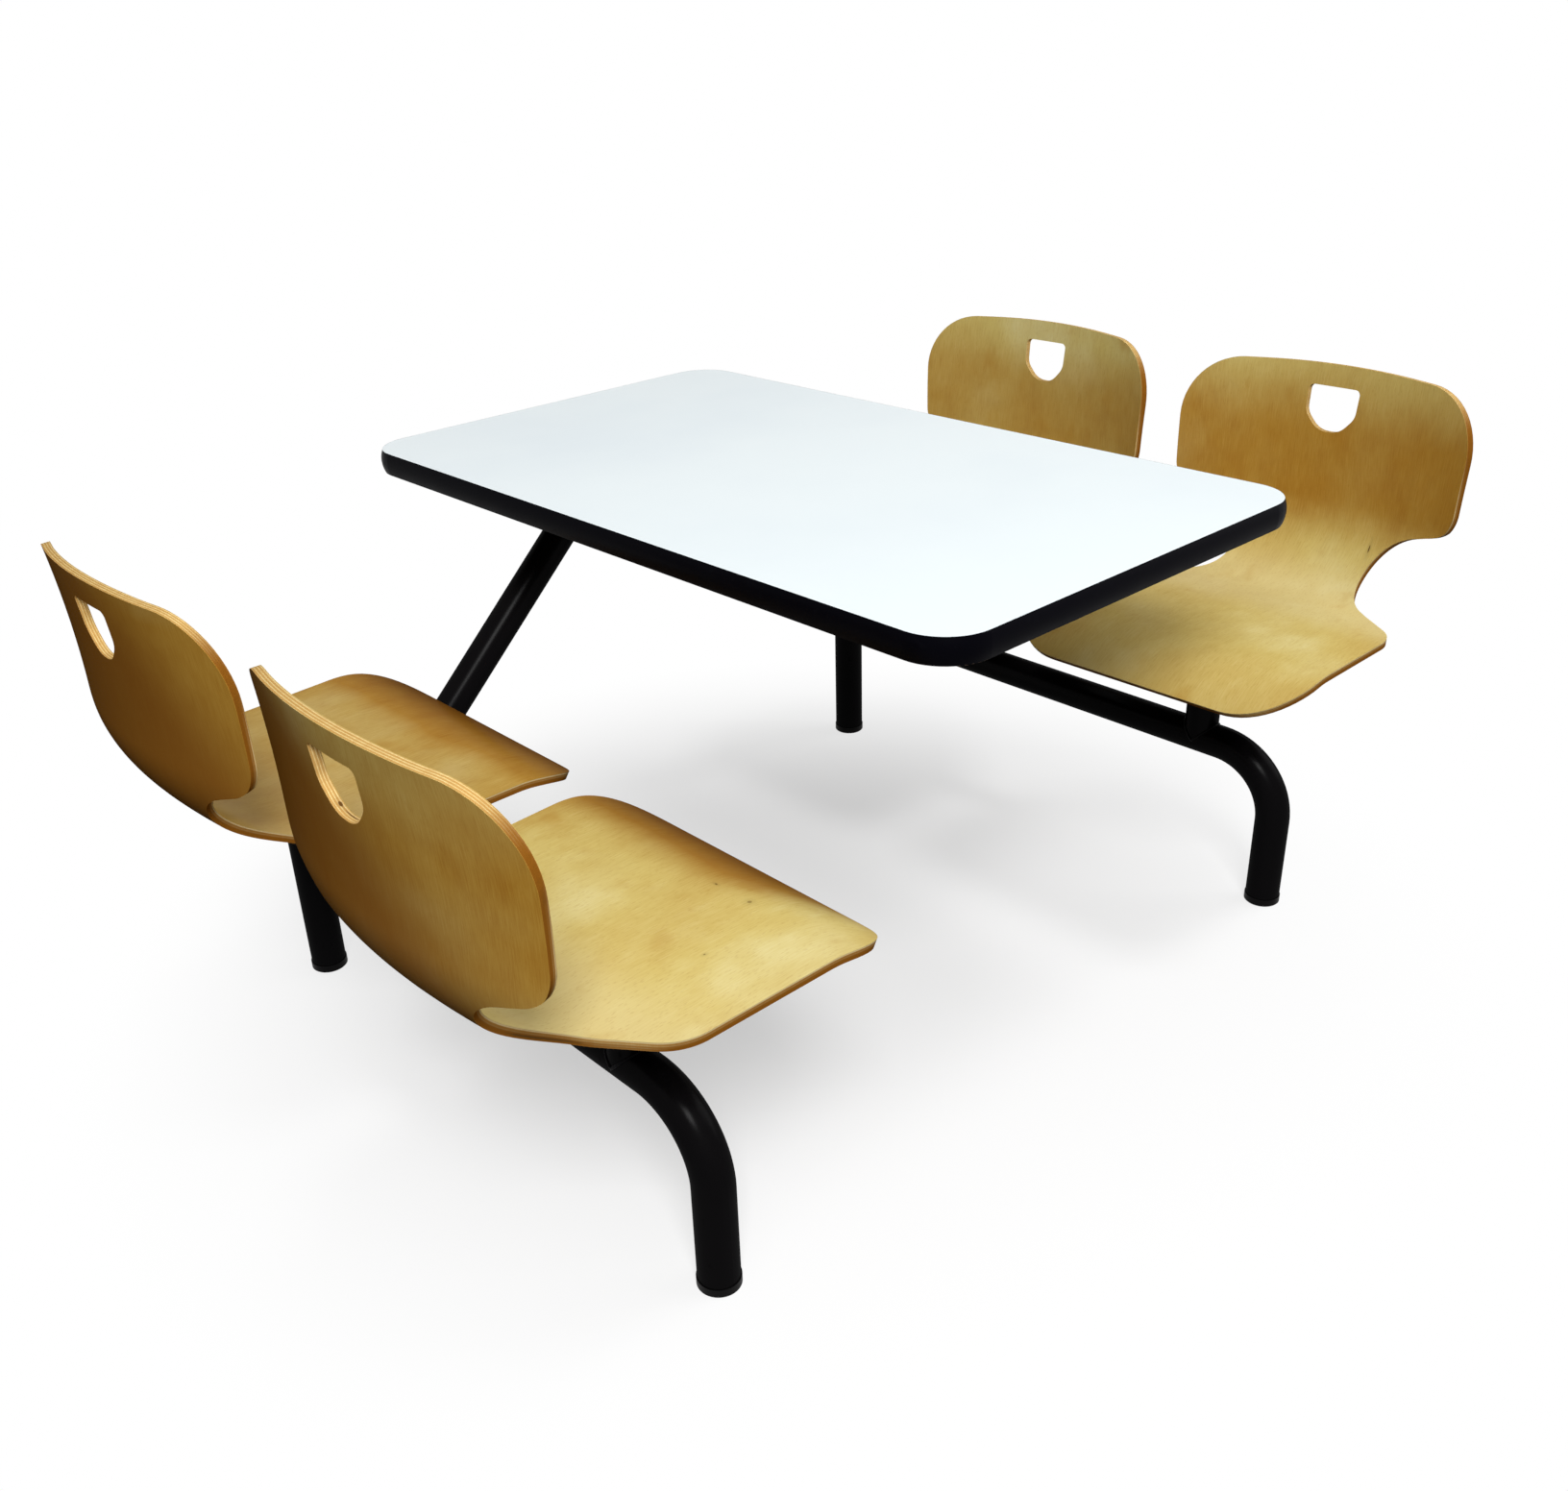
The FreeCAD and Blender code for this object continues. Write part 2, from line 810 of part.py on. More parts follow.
def write_frame():
    """Beams, legs, braces, feet and caps."""
    for side_name, side in SIDES.items():
        save(side_name + "_beam", beam(side))
        save(side_name + "_left_leg", left_leg(side))
        save(side_name + "_brace", brace(side))
        for place_name, x in (("left", left_leg_x), ("right", right_leg_x)):
            name = "_".join((side_name, place_name, "foot"))
            save(name, placed(foot(), x, side * beam_y))
    save("end_caps", end_caps())


def write_table():
    """Table top with the carrier under it."""
    core = table_sheet(core_bottom, core_thickness).cut(barb_ring())
    save("table_core", drilled(core, screw_diameter))
    save("table_laminate", table_sheet(laminate_bottom, laminate_thickness))
    backer = table_sheet(table_bottom, laminate_thickness)
    save("table_backer", drilled(backer, screw_diameter))
    save("table_edge", edge_strip())
    save("table_rails", rails())
    save("table_spine", spine())
    save("table_screws", screws())


os.makedirs("parts", exist_ok=True)
write_table()
write_frame()
write_seats()
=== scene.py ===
"""Looks of a four-seat table unit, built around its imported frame.

The seats, the table skin and the welds are modelled here. Every other piece is
a node of the frame that gets a finish. All sizes are in metres.
"""

import json
import logging
import math
from collections.abc import Iterable
from dataclasses import dataclass, field
from enum import Enum
from typing import Any

import bmesh
import bpy
from mathutils import Matrix, Vector


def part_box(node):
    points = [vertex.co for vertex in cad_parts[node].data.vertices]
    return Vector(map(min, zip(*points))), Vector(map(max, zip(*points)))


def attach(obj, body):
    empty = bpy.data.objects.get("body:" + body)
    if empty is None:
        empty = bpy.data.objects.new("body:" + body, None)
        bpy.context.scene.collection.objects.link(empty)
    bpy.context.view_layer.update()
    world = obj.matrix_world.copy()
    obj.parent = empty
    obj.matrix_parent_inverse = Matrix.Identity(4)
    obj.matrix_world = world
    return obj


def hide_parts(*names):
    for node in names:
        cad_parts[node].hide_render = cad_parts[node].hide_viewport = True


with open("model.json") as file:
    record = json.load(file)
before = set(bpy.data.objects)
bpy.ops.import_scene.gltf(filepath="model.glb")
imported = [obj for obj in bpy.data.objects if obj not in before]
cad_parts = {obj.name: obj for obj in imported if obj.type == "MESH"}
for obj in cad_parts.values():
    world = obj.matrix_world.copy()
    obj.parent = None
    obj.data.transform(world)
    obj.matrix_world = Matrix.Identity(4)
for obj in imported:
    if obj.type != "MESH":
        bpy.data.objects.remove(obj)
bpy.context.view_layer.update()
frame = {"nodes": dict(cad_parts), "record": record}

LOG = logging.getLogger("table_unit")
FRAME_BODY = "frame"
BLANK_LAYER = "blank"
MERGE_DISTANCE = 1e-6
HALF = 0.5

Triple = tuple[float, float, float]
Colour = Triple
UNSTRETCHED: Triple = (1, 1, 1)
UNMOVED: Triple = (0, 0, 0)


# --- shader graph ----------------------------------------------------------------
@dataclass(frozen=True)
class Fade:
    """A smooth step: 0 at its start, its share at its end. Either may be the larger."""

    start: float
    end: float
    share: float = 1.0


@dataclass(frozen=True)
class Noise:
    """Fractal noise: cells per metre, octaves, and how its place is scaled and shifted."""

    scale: float
    detail: float = 2.0
    stretch: Triple = UNSTRETCHED
    shift: Triple = UNMOVED


class Value:
    """A shader value whose arithmetic adds Math nodes."""

    def __init__(self, graph: "Graph", socket: bpy.types.NodeSocket | None) -> None:
        """Keep the graph and the output socket that holds the value."""
        self.graph = graph
        self.socket = socket

    def _math(
        self, operation: str, first: "Value | float", second: "Value | float" = 0.0
    ) -> "Value":
        """Add one Math node.

        Args:
            operation: the node's operation.
            first: left operand.
            second: right operand.

        Returns:
            The result.
        """
        settings = {"operation": operation}
        return self.graph.add("ShaderNodeMath", settings, {0: first, 1: second})

    def __add__(self, other: "Value | float") -> "Value":
        """Sum."""
        return self._math("ADD", self, other)

    def __radd__(self, other: "Value | float") -> "Value":
        """Sum with the value on the right."""
        return self._math("ADD", other, self)

    def __sub__(self, other: "Value | float") -> "Value":
        """Difference."""
        return self._math("SUBTRACT", self, other)

    def __rsub__(self, other: "Value | float") -> "Value":
        """Difference with the value on the right."""
        return self._math("SUBTRACT", other, self)

    def __mul__(self, other: "Value | float") -> "Value":
        """Product."""
        return self._math("MULTIPLY", self, other)

    def __rmul__(self, other: "Value | float") -> "Value":
        """Product with the value on the right."""
        return self._math("MULTIPLY", other, self)

    def __pow__(self, other: "Value | float") -> "Value":
        """Power."""
        return self._math("POWER", self, other)

    def __abs__(self) -> "Value":
        """Size without sign."""
        return self._math("ABSOLUTE", self)

    def sine(self) -> "Value":
        """Sine of the value in radians."""
        return self._math("SINE", self)

    def at_least(self, other: "Value | float") -> "Value":
        """The larger of two values."""
        return self._math("MAXIMUM", self, other)

    def swing(self, share: float) -> "Value":
        """How far the value is from a half, times a share."""
        return (self - HALF) * share

    def fade(self, fade: Fade) -> "Value":
        """Smooth step of the value.

        Args:
            fade: where the step starts and ends, and its share.

        Returns:
            The step.
        """
        settings = {"interpolation_type": "SMOOTHSTEP"}
        limits = {"Value": self, "From Min": fade.start, "From Max": fade.end}
        step = self.graph.add("ShaderNodeMapRange", settings, limits)
        return step if fade.share == 1.0 else step * fade.share


class Graph:
    """The node tree of one material or world."""

    def __init__(self, owner: bpy.types.Material | bpy.types.World) -> None:
        """Empty the tree of the owner.

        Args:
            owner: the material or world.
        """
        owner.use_nodes = True
        self.tree = owner.node_tree
        self.tree.nodes.clear()

    def add(
        self,
        kind: str,
        settings: dict[str, Any] | None = None,
        inputs: dict[int | str, Any] | None = None,
        output: int | str = 0,
    ) -> Value:
        """Add one node.

        Args:
            kind: type of the node.
            settings: its properties, set first.
            inputs: a value or a link for each input socket.
            output: the output socket to return.

        Returns:
            The chosen output.
        """
        node = self.tree.nodes.new(kind)
        for name, setting in (settings or {}).items():
            setattr(node, name, setting)
        for name, given in (inputs or {}).items():
            if isinstance(given, Value):
                self.tree.links.new(given.socket, node.inputs[name])
            else:
                node.inputs[name].default_value = given
        return Value(self, node.outputs[output] if node.outputs else None)

    def object_place(self) -> Value:
        """Place on the object, in metres."""
        return self.add("ShaderNodeTexCoord", output="Object")

    def attribute(self, name: str) -> Value:
        """A vector attribute of the mesh."""
        return self.add("ShaderNodeAttribute", {"attribute_name": name}, output="Vector")

    def scaled(self, vector: Value, factors: Triple, shift: Triple = UNMOVED) -> Value:
        """Scale a vector along its axes and shift it.

        Args:
            vector: the vector.
            factors: factor along each axis.
            shift: amount added after scaling.

        Returns:
            The new vector.
        """
        settings = {"operation": "MULTIPLY_ADD"}
        return self.add("ShaderNodeVectorMath", settings, {0: vector, 1: factors, 2: shift})

    def length(self, vector: Value) -> Value:
        """Length of a vector."""
        return self.add("ShaderNodeVectorMath", {"operation": "LENGTH"}, {0: vector}, 1)

    def parts(self, vector: Value) -> tuple[Value, Value, Value]:
        """Take a vector apart.

        Args:
            vector: the vector.

        Returns:
            Its three components.
        """
        node = self.add("ShaderNodeSeparateXYZ", inputs={0: vector}).socket.node
        x, y, z = (Value(self, node.outputs[index]) for index in range(3))
        return x, y, z

    def noise(self, place: Value, noise: Noise) -> Value:
        """Fractal noise about a half.

        Args:
            place: where the noise is read.
            noise: its pattern.

        Returns:
            The noise.
        """
        if (noise.stretch, noise.shift) != (UNSTRETCHED, UNMOVED):
            place = self.scaled(place, noise.stretch, noise.shift)
        inputs = {"Vector": place, "Scale": noise.scale, "Detail": noise.detail}
        return self.add("ShaderNodeTexNoise", None, inputs)

    def spots(self, place: Value, scale: float) -> Value:
        """Distance to the nearest of many scattered points, in cells."""
        return self.add("ShaderNodeTexVoronoi", None, {"Vector": place, "Scale": scale})

    def ramp(self, amount: Value, stops: Iterable[tuple[float, Colour]]) -> Value:
        """Colour ramp.

        Args:
            amount: value between 0 and 1.
            stops: position and colour of each stop.

        Returns:
            The colour for the amount.
        """
        colour = self.add("ShaderNodeValToRGB", inputs={0: amount})
        elements = colour.socket.node.color_ramp.elements
        stops = list(stops)
        while len(elements) < len(stops):
            elements.new(1.0)
        for element, (position, tint) in zip(elements, stops):
            element.position = position
            element.color = (*tint, 1.0)
        return colour

    def blend(
        self, amount: Value | float, first: Value | Colour, second: Value | Colour
    ) -> Value:
        """Mix two colours.

        Args:
            amount: share of the second colour.
            first: a colour or a link.
            second: a colour or a link.

        Returns:
            The mixed colour.
        """
        first = first if isinstance(first, Value) else (*first, 1.0)
        second = second if isinstance(second, Value) else (*second, 1.0)
        settings = {"data_type": "RGBA", "clamp_factor": True}
        return self.add("ShaderNodeMix", settings, {0: amount, 6: first, 7: second}, 2)

    def bump(self, height: Value, depth: float, under: Value | None = None) -> Value:
        """Relief of a surface.

        Args:
            height: height between 0 and 1.
            depth: height in metres that 1 stands for.
            under: relief that this one lies on.

        Returns:
            The bent normal.
        """
        inputs: dict[str, Any] = {"Height": height, "Distance": depth, "Strength": 1.0}
        if under is not None:
            inputs["Normal"] = under
        return self.add("ShaderNodeBump", None, inputs)

    def finish(self, shader: Value, kind: str = "ShaderNodeOutputMaterial") -> None:
        """Connect the surface to the output."""
        self.add(kind, None, {"Surface": shader})


# --- plywood finish --------------------------------------------------------------
@dataclass(frozen=True)
class Finish:
    """A finish of one kind of surface."""

    name: str

    def sockets(self, graph: Graph) -> dict[str, Any]:
        """Say how the surface looks; each finish does this in its own way.

        Args:
            graph: the node tree.

        Returns:
            The inputs of the surface shader.
        """
        raise NotImplementedError

    def build(self) -> bpy.types.Material:
        """Make the material.

        Returns:
            The material.
        """
        material = bpy.data.materials.new(self.name)
        graph = Graph(material)
        graph.finish(graph.add("ShaderNodeBsdfPrincipled", None, self.sockets(graph)))
        return material


@dataclass(frozen=True)
class Knot:
    """A knot or crack, by its middle on the flat blank and its half sizes there."""

    across: float
    station: float
    size: Triple
    strength: float = 1.0
    depth: float = 0.0
    on_rim: bool = False
    fray: Noise = Noise(300.0)
    fray_share: float = 0.6
    plain_share: float = 0.7
    core: Fade = Fade(1.0, 0.45)
    ring: Fade = Fade(3.5, 1.0, 0.22)

    def mask(self, graph: Graph, place: Value) -> Value:
        """Where the knot shows, with a soft ring round it.

        Args:
            graph: the node tree.
            place: place on the flat blank.

        Returns:
            Its strength in the knot, 0 away from it.
        """
        factors = tuple(1.0 / half for half in self.size)
        middle = (self.across, self.station, self.depth)
        shift = tuple(-part * factor for part, factor in zip(middle, factors))
        away = graph.length(graph.scaled(place, factors, shift))
        ragged = away * (self.plain_share + graph.noise(place, self.fray) * self.fray_share)
        return (ragged.fade(self.core) + ragged.fade(self.ring)) * self.strength


@dataclass(frozen=True)
class SeatLook:
    """What sets the plywood of one seat apart from that of the others.

    The log place shifts the figure. The two front settings darken the front roll, partly as
    amber tone and partly as painted shade where the roll faces away from the light; the
    second also thins the lacquer there. The corner lift keeps one corner of that painted
    shade paler. Age turns the whole seat amber and also widens or narrows its painted shade.
    """

    log_place: Triple
    front_amber_and_shade: float = 0.25
    front_shade_and_wear: float = 0.0
    corner_lift: float = 0.02
    age: float = 0.0
    knots: tuple[Knot, ...] = ()


class Blank:
    """A place on the flat blank of one seat, as shader values.

    The parts of the place are the distance across from the middle line, the station
    from the front edge and the depth above the middle ply, negative towards the outside.
    """

    flat: Triple = (1, 1, 0)
    outer_side: Fade = Fade(0.001, -0.001)
    corner: Fade = Fade(-0.02, -0.20)
    front_roll: Fade = Fade(0.145, 0.0)
    front_growth: float = 0.03

    def __init__(self, graph: Graph, look: SeatLook) -> None:
        """Read the place from the mesh.

        Args:
            graph: the node tree.
            look: the look of the seat.
        """
        self.place = graph.attribute(BLANK_LAYER)
        self.across, self.station, self.depth = graph.parts(self.place)
        self.figure_place = graph.scaled(self.place, self.flat, look.log_place)
        self.outside = self.depth.fade(self.outer_side)
        # The front roll mask carries amber and painted shade; the corner lift and age move its
        # edge.
        corner = self.across.fade(self.corner) * look.corner_lift
        station = self.station + corner - look.age * self.front_growth
        self.front = station.fade(self.front_roll)


@dataclass(frozen=True)
class PlyFace:
    """The face veneer, where its lacquer has aged, with painted shade and a painted highlight on
    it.
    """

    # Pale cream, laid in cloudy patches and as a painted highlight in the crease.
    cream_and_highlight: Colour = (0.80, 0.71, 0.37)
    pale: tuple[Colour, ...] = ((0.60, 0.43, 0.12), (0.70, 0.56, 0.185), (0.77, 0.665, 0.29))
    amber: tuple[Colour, ...] = ((0.38, 0.16, 0.018), (0.48, 0.25, 0.036), (0.57, 0.33, 0.06))
    # Colour of the painted shade on the veneer.
    painted_shade_colour: Colour = (0.26, 0.095, 0.012)
    tones: Triple = (0.22, 0.52, 0.80)
    sway: Noise = Noise(5.0, 1.0, (1, 0.5, 1))
    sway_reach: float = 0.05
    figure: Noise = Noise(9.0, 3.0, (1, 0.22, 1))
    figure_share: float = 0.30
    streaks: Noise = Noise(70.0, 3.0, (1, 0.06, 1))
    streak_share: float = 0.16
    streak_relief: float = 0.3
    mottle: Noise = Noise(38.0, 3.0, (1, 0.7, 1))
    mottle_share: float = 0.30
    pores: Noise = Noise(700.0, 2.0, (1, 0.05, 1))
    pore_share: float = 0.50
    pore_relief: float = 0.7
    fleck_stretch: Triple = (1, 0.22, 1)
    fleck_scale: float = 420.0
    flecks: Fade = Fade(0.34, 0.08, 0.22)
    clouds: Noise = Noise(4.5, 3.0)
    cream_clouds: Fade = Fade(0.52, 0.30)
    # A painted highlight of cream in the crease, between these stations.
    crease_highlight_start: Fade = Fade(0.25, 0.34)
    crease_highlight_end: Fade = Fade(0.49, 0.40)
    crease_highlight_share: float = 0.55
    stains: Noise = Noise(17.0, 3.0, (1, 0.8, 1), (3.1, 1.3, 0))
    stained: Fade = Fade(0.56, 0.76, 0.40)
    # Amber shares; outside, in front and at the bend the amber is partly painted shade.
    base_amber: float = 0.12
    side_amber: Fade = Fade(0.14, 0.26, 0.10)
    outer_amber_and_shade: float = 0.30
    bend_station: float = 0.620
    shaded_bend: Fade = Fade(0.150, 0.04)
    bend_amber_and_shade: float = 0.75
    bend_outer_loss: float = 0.4
    # Painted shade on one side of the outer face and on the front roll.
    shaded_side: Fade = Fade(-0.80, -0.58)
    shade_growth: float = 0.26
    outer_shade_share: float = 0.85
    front_power: float = 1.2

    def dress(self, graph: Graph, blank: Blank, look: SeatLook) -> tuple[Value, Value]:
        """Draw the veneer.

        Args:
            graph: the node tree.
            blank: place on the blank.
            look: the look of the seat.

        Returns:
            The colour and the height of the pores.
        """
        place = blank.figure_place
        sway = graph.noise(place, self.sway) * self.sway_reach
        sway = graph.add("ShaderNodeCombineXYZ", None, {0: sway})
        bent = graph.add("ShaderNodeVectorMath", {"operation": "ADD"}, {0: place, 1: sway})
        streaks = graph.noise(bent, self.streaks)
        pores = graph.noise(bent, self.pores)
        clouds = graph.noise(place, self.clouds)
        tone = (
            HALF
            + graph.noise(bent, self.figure).swing(self.figure_share)
            + streaks.swing(self.streak_share)
            + graph.noise(place, self.mottle).swing(self.mottle_share)
            + pores.swing(self.pore_share)
        )
        pale = graph.ramp(tone, zip(self.tones, self.pale))
        amber = graph.ramp(tone, zip(self.tones, self.amber))
        station = blank.station
        # Painted highlight: cream in the crease, added to the cream clouds.
        rear = station.fade(self.crease_highlight_start) * station.fade(self.crease_highlight_end) * self.crease_highlight_share
        cream_and_highlight = clouds.fade(self.cream_clouds) * tone + rear
        pale = graph.blend(cream_and_highlight, pale, self.cream_and_highlight)
        stains = graph.noise(place, self.stains).fade(self.stained)
        pale = graph.blend(stains, pale, self.amber[1])
        # Amber tones: aged lacquer, and partly painted shade outside, in front and at the bend.
        colour = graph.blend(self._amber_and_shade(blank, look, clouds), pale, amber)
        # Painted shade, deepest on one side of the outer face and on the front roll.
        colour = graph.blend(self._painted_shade(blank, look), colour, self.painted_shade_colour)
        flecks = graph.spots(graph.scaled(bent, self.fleck_stretch), self.fleck_scale)
        colour = graph.blend(flecks.fade(self.flecks), colour, self.amber[0])
        return colour, pores * self.pore_relief + streaks * self.streak_relief

    def _amber_and_shade(self, blank: Blank, look: SeatLook, clouds: Value) -> Value:
        """Where the veneer is amber: towards the sides and at random, and outside, in front and
        at the bend, where the amber is partly painted shade.

        Args:
            blank: place on the blank.
            look: the look of the seat.
            clouds: broad noise of the veneer.

        Returns:
            Share of the amber tones.
        """
        sides = self.base_amber + look.age + abs(blank.across).fade(self.side_amber)
        shaded_bend = abs(blank.station - self.bend_station).fade(self.shaded_bend) * self.bend_amber_and_shade
        return (
            sides
            + (clouds - HALF)
            + blank.outside * self.outer_amber_and_shade
            + blank.front * look.front_amber_and_shade
            + shaded_bend * (1 - blank.outside * self.bend_outer_loss)
        )

    def _painted_shade(self, blank: Blank, look: SeatLook) -> Value:
        """Where painted shade darkens the veneer most: one side of the outer face and the front
        roll.

        Args:
            blank: place on the blank.
            look: the look of the seat.

        Returns:
            Share of the painted shade.
        """
        # Painted shade falls where the outer face turns from the lamps: towards one side and
        # down.
        slant = blank.across - blank.station + look.age * self.shade_growth
        outer_shade = blank.outside * slant.fade(self.shaded_side) * self.outer_shade_share
        return outer_shade + blank.front**self.front_power * look.front_shade_and_wear


@dataclass(frozen=True)
class PlyRim:
    """The cut plies, long grain and end grain by turns, with painted shade and a painted
    highlight on the rim.
    """

    plies: int = 7
    light: Colour = (0.86, 0.66, 0.29)
    dark: Colour = (0.60, 0.34, 0.10)
    # Colour of the painted shade on the rim.
    shade: Colour = (0.27, 0.10, 0.010)
    # Colour of the painted highlight on the upper arris.
    arris_highlight: Colour = (0.92, 0.78, 0.42)
    glue: Colour = (0.12, 0.045, 0.012)
    wander: Noise = Noise(45.0)
    wander_share: float = 0.35
    long_grain: Fade = Fade(-0.25, 0.25)
    grain_relief: float = 0.6
    fibres: Noise = Noise(900.0)
    fibre_tone: Fade = Fade(0.66, 0.40, 0.3)
    fibre_relief: float = 0.4
    patches: Noise = Noise(120.0)
    patch_tone: Fade = Fade(0.62, 0.36, 0.35)
    glue_line: Fade = Fade(0.22, 0.05, 0.7)
    low_part: Fade = Fade(0.68, 0.58)
    # Painted shade on the rim: on the sides of the back, at the waist and along the pan.
    side_shade: Fade = Fade(0.19, 0.235)
    side_low_loss: float = 0.55
    waist_shade: Fade = Fade(0.18, 0.13, 0.45)
    under_shade: Fade = Fade(0.0035, -0.0035, 0.5)
    low_shade: float = 0.2
    # Painted highlight along the upper arris of the pan.
    arris_highlight_band: Fade = Fade(0.0028, 0.0042)
    arris_highlight_share: float = 0.6

    def dress(self, graph: Graph, blank: Blank, thickness: float) -> tuple[Value, Value]:
        """Draw the cut plies.

        Args:
            graph: the node tree.
            blank: place on the blank.
            thickness: thickness of the board.

        Returns:
            The colour and the height.
        """
        place = blank.figure_place
        wander = graph.noise(place, self.wander).swing(self.wander_share)
        wave = ((blank.depth * (self.plies / thickness) + wander) * math.pi).sine()
        grain = wave.fade(self.long_grain)
        fibres = graph.noise(place, self.fibres)
        patches = graph.noise(place, self.patches)
        colour = graph.blend(grain, self.dark, self.light)
        colour = graph.blend(patches.fade(self.patch_tone), colour, self.dark)
        colour = graph.blend(fibres.fade(self.fibre_tone), colour, self.dark)
        low = blank.station.fade(self.low_part)
        aside = abs(blank.across)
        # Painted shade on the rim, strongest on the sides of the back, at the waist and low on
        # the pan.
        sides = aside.fade(self.side_shade) * (1.0 - low * self.side_low_loss)
        under = blank.depth.fade(self.under_shade) + self.low_shade
        shade = (under + aside.fade(self.waist_shade)) * low + sides
        colour = graph.blend(shade, colour, self.shade)
        # Painted highlight along the upper arris of the pan rim.
        arris_highlight = blank.depth.fade(self.arris_highlight_band) * low * self.arris_highlight_share
        colour = graph.blend(arris_highlight, colour, self.arris_highlight)
        colour = graph.blend(abs(wave).fade(self.glue_line), colour, self.glue)
        return colour, grain * self.grain_relief + fibres * self.fibre_relief


@dataclass(frozen=True)
class MouldedPly(Finish):
    """Lacquered beech plywood: veneer on both faces, cut plies on the rim."""

    thickness: float
    look: SeatLook
    face: PlyFace = PlyFace()
    rim: PlyRim = PlyRim()
    knot_colour: Colour = (0.13, 0.06, 0.015)
    rim_start: float = 0.0007
    rim_end: float = 0.0001
    grain_depth: float = 0.00008
    waves: Noise = Noise(60.0, 1.0)
    wave_depth: float = 0.00012
    roughness: float = 0.36
    smudges: Noise = Noise(14.0, 3.0, (1, 0.6, 1))
    smudge_roughness: float = 0.16
    rim_roughness: float = 0.14
    shine: float = 0.0
    lacquer: float = 0.12
    lacquer_roughness: float = 0.24
    upper_face: Fade = Fade(0.002, 0.0045)
    thin_share: float = 0.04

    def sockets(self, graph: Graph) -> dict[str, Any]:
        """Veneer on both faces, plies on the rim, one coat of lacquer over all.

        Args:
            graph: the node tree.

        Returns:
            The inputs of the surface shader.
        """
        blank = Blank(graph, self.look)
        veneer, pores = self.face.dress(graph, blank, self.look)
        plies, fibres = self.rim.dress(graph, blank, self.thickness)
        veneer = self._with_knots(graph, blank, veneer, False)
        plies = self._with_knots(graph, blank, plies, True)
        half = self.thickness / 2
        on_face = abs(blank.depth).fade(Fade(half - self.rim_start, half - self.rim_end))
        on_rim = 1 - on_face
        smudges = graph.noise(blank.figure_place, self.smudges) * self.smudge_roughness
        waves = graph.bump(graph.noise(blank.figure_place, self.waves), self.wave_depth)
        height = pores * on_face + fibres * on_rim
        return {
            "Base Color": graph.blend(on_face, plies, veneer),
            "Roughness": self.roughness + smudges + on_rim * self.rim_roughness,
            "Normal": graph.bump(height, self.grain_depth, waves),
            "Specular IOR Level": self.shine,
            "Coat Weight": self._gloss(blank),
            "Coat Roughness": self.lacquer_roughness,
        }

    def _with_knots(self, graph: Graph, blank: Blank, colour: Value, on_rim: bool) -> Value:
        """Lay knots over a colour.

        Args:
            graph: the node tree.
            blank: place on the blank.
            colour: the colour below.
            on_rim: whether the knots of the rim are laid, or those of the faces.

        Returns:
            The new colour.
        """
        for knot in self.look.knots:
            if knot.on_rim is on_rim:
                colour = graph.blend(knot.mask(graph, blank.place), colour, self.knot_colour)
        return colour

    def _gloss(self, blank: Blank) -> Value:
        """Thickness of the lacquer: full on the upper face, thin outside and on the rim.

        Args:
            blank: place on the blank.

        Returns:
            Weight of the coat.
        """
        worn = blank.front * self.look.front_shade_and_wear
        upper = blank.depth.fade(self.upper_face) * (1 - worn)
        return self.lacquer * (self.thin_share + upper * (1.0 - self.thin_share))


# --- other finishes --------------------------------------------------------------
@dataclass(frozen=True)
class WhiteLaminate(Finish):
    """Cool white laminate with a fine dimple and a brown core at its rim."""

    top: float = 0.735
    colour: Colour = (0.84, 0.915, 0.935)
    shade: Colour = (0.79, 0.870, 0.905)
    core: Colour = (0.13, 0.075, 0.045)
    rim_depth: float = 0.00008
    clouds: Noise = Noise(2.2, 3.0)
    shaded: Fade = Fade(0.35, 0.70)
    specks: Noise = Noise(900.0, 1.0)
    speck: Fade = Fade(0.70, 0.78, 0.05)
    roughness: float = 0.27
    cloud_roughness: float = 0.05
    wiping: Noise = Noise(26.0, 3.0, (1, 0.25, 1))
    wiped_roughness: float = 0.12
    dimple: Noise = Noise(1500.0, 1.0)
    dimple_depth: float = 0.00001

    def sockets(self, graph: Graph) -> dict[str, Any]:
        """Faint clouds and specks on top, core paper below the edge of the face.

        Args:
            graph: the node tree.

        Returns:
            The inputs of the surface shader.
        """
        place = graph.object_place()
        _, _, height = graph.parts(place)
        clouds = graph.noise(place, self.clouds)
        specks = graph.noise(place, self.specks).fade(self.speck)
        wiped = graph.noise(place, self.wiping) * self.wiped_roughness
        colour = graph.blend(clouds.fade(self.shaded), self.colour, self.shade)
        colour = graph.blend(specks, colour, self.core)
        face = height.fade(Fade(self.top - self.rim_depth * 2, self.top - self.rim_depth))
        return {
            "Base Color": graph.blend(face, self.core, colour),
            "Roughness": self.roughness + wiped + clouds * self.cloud_roughness,
            "Normal": graph.bump(graph.noise(place, self.dimple), self.dimple_depth),
        }


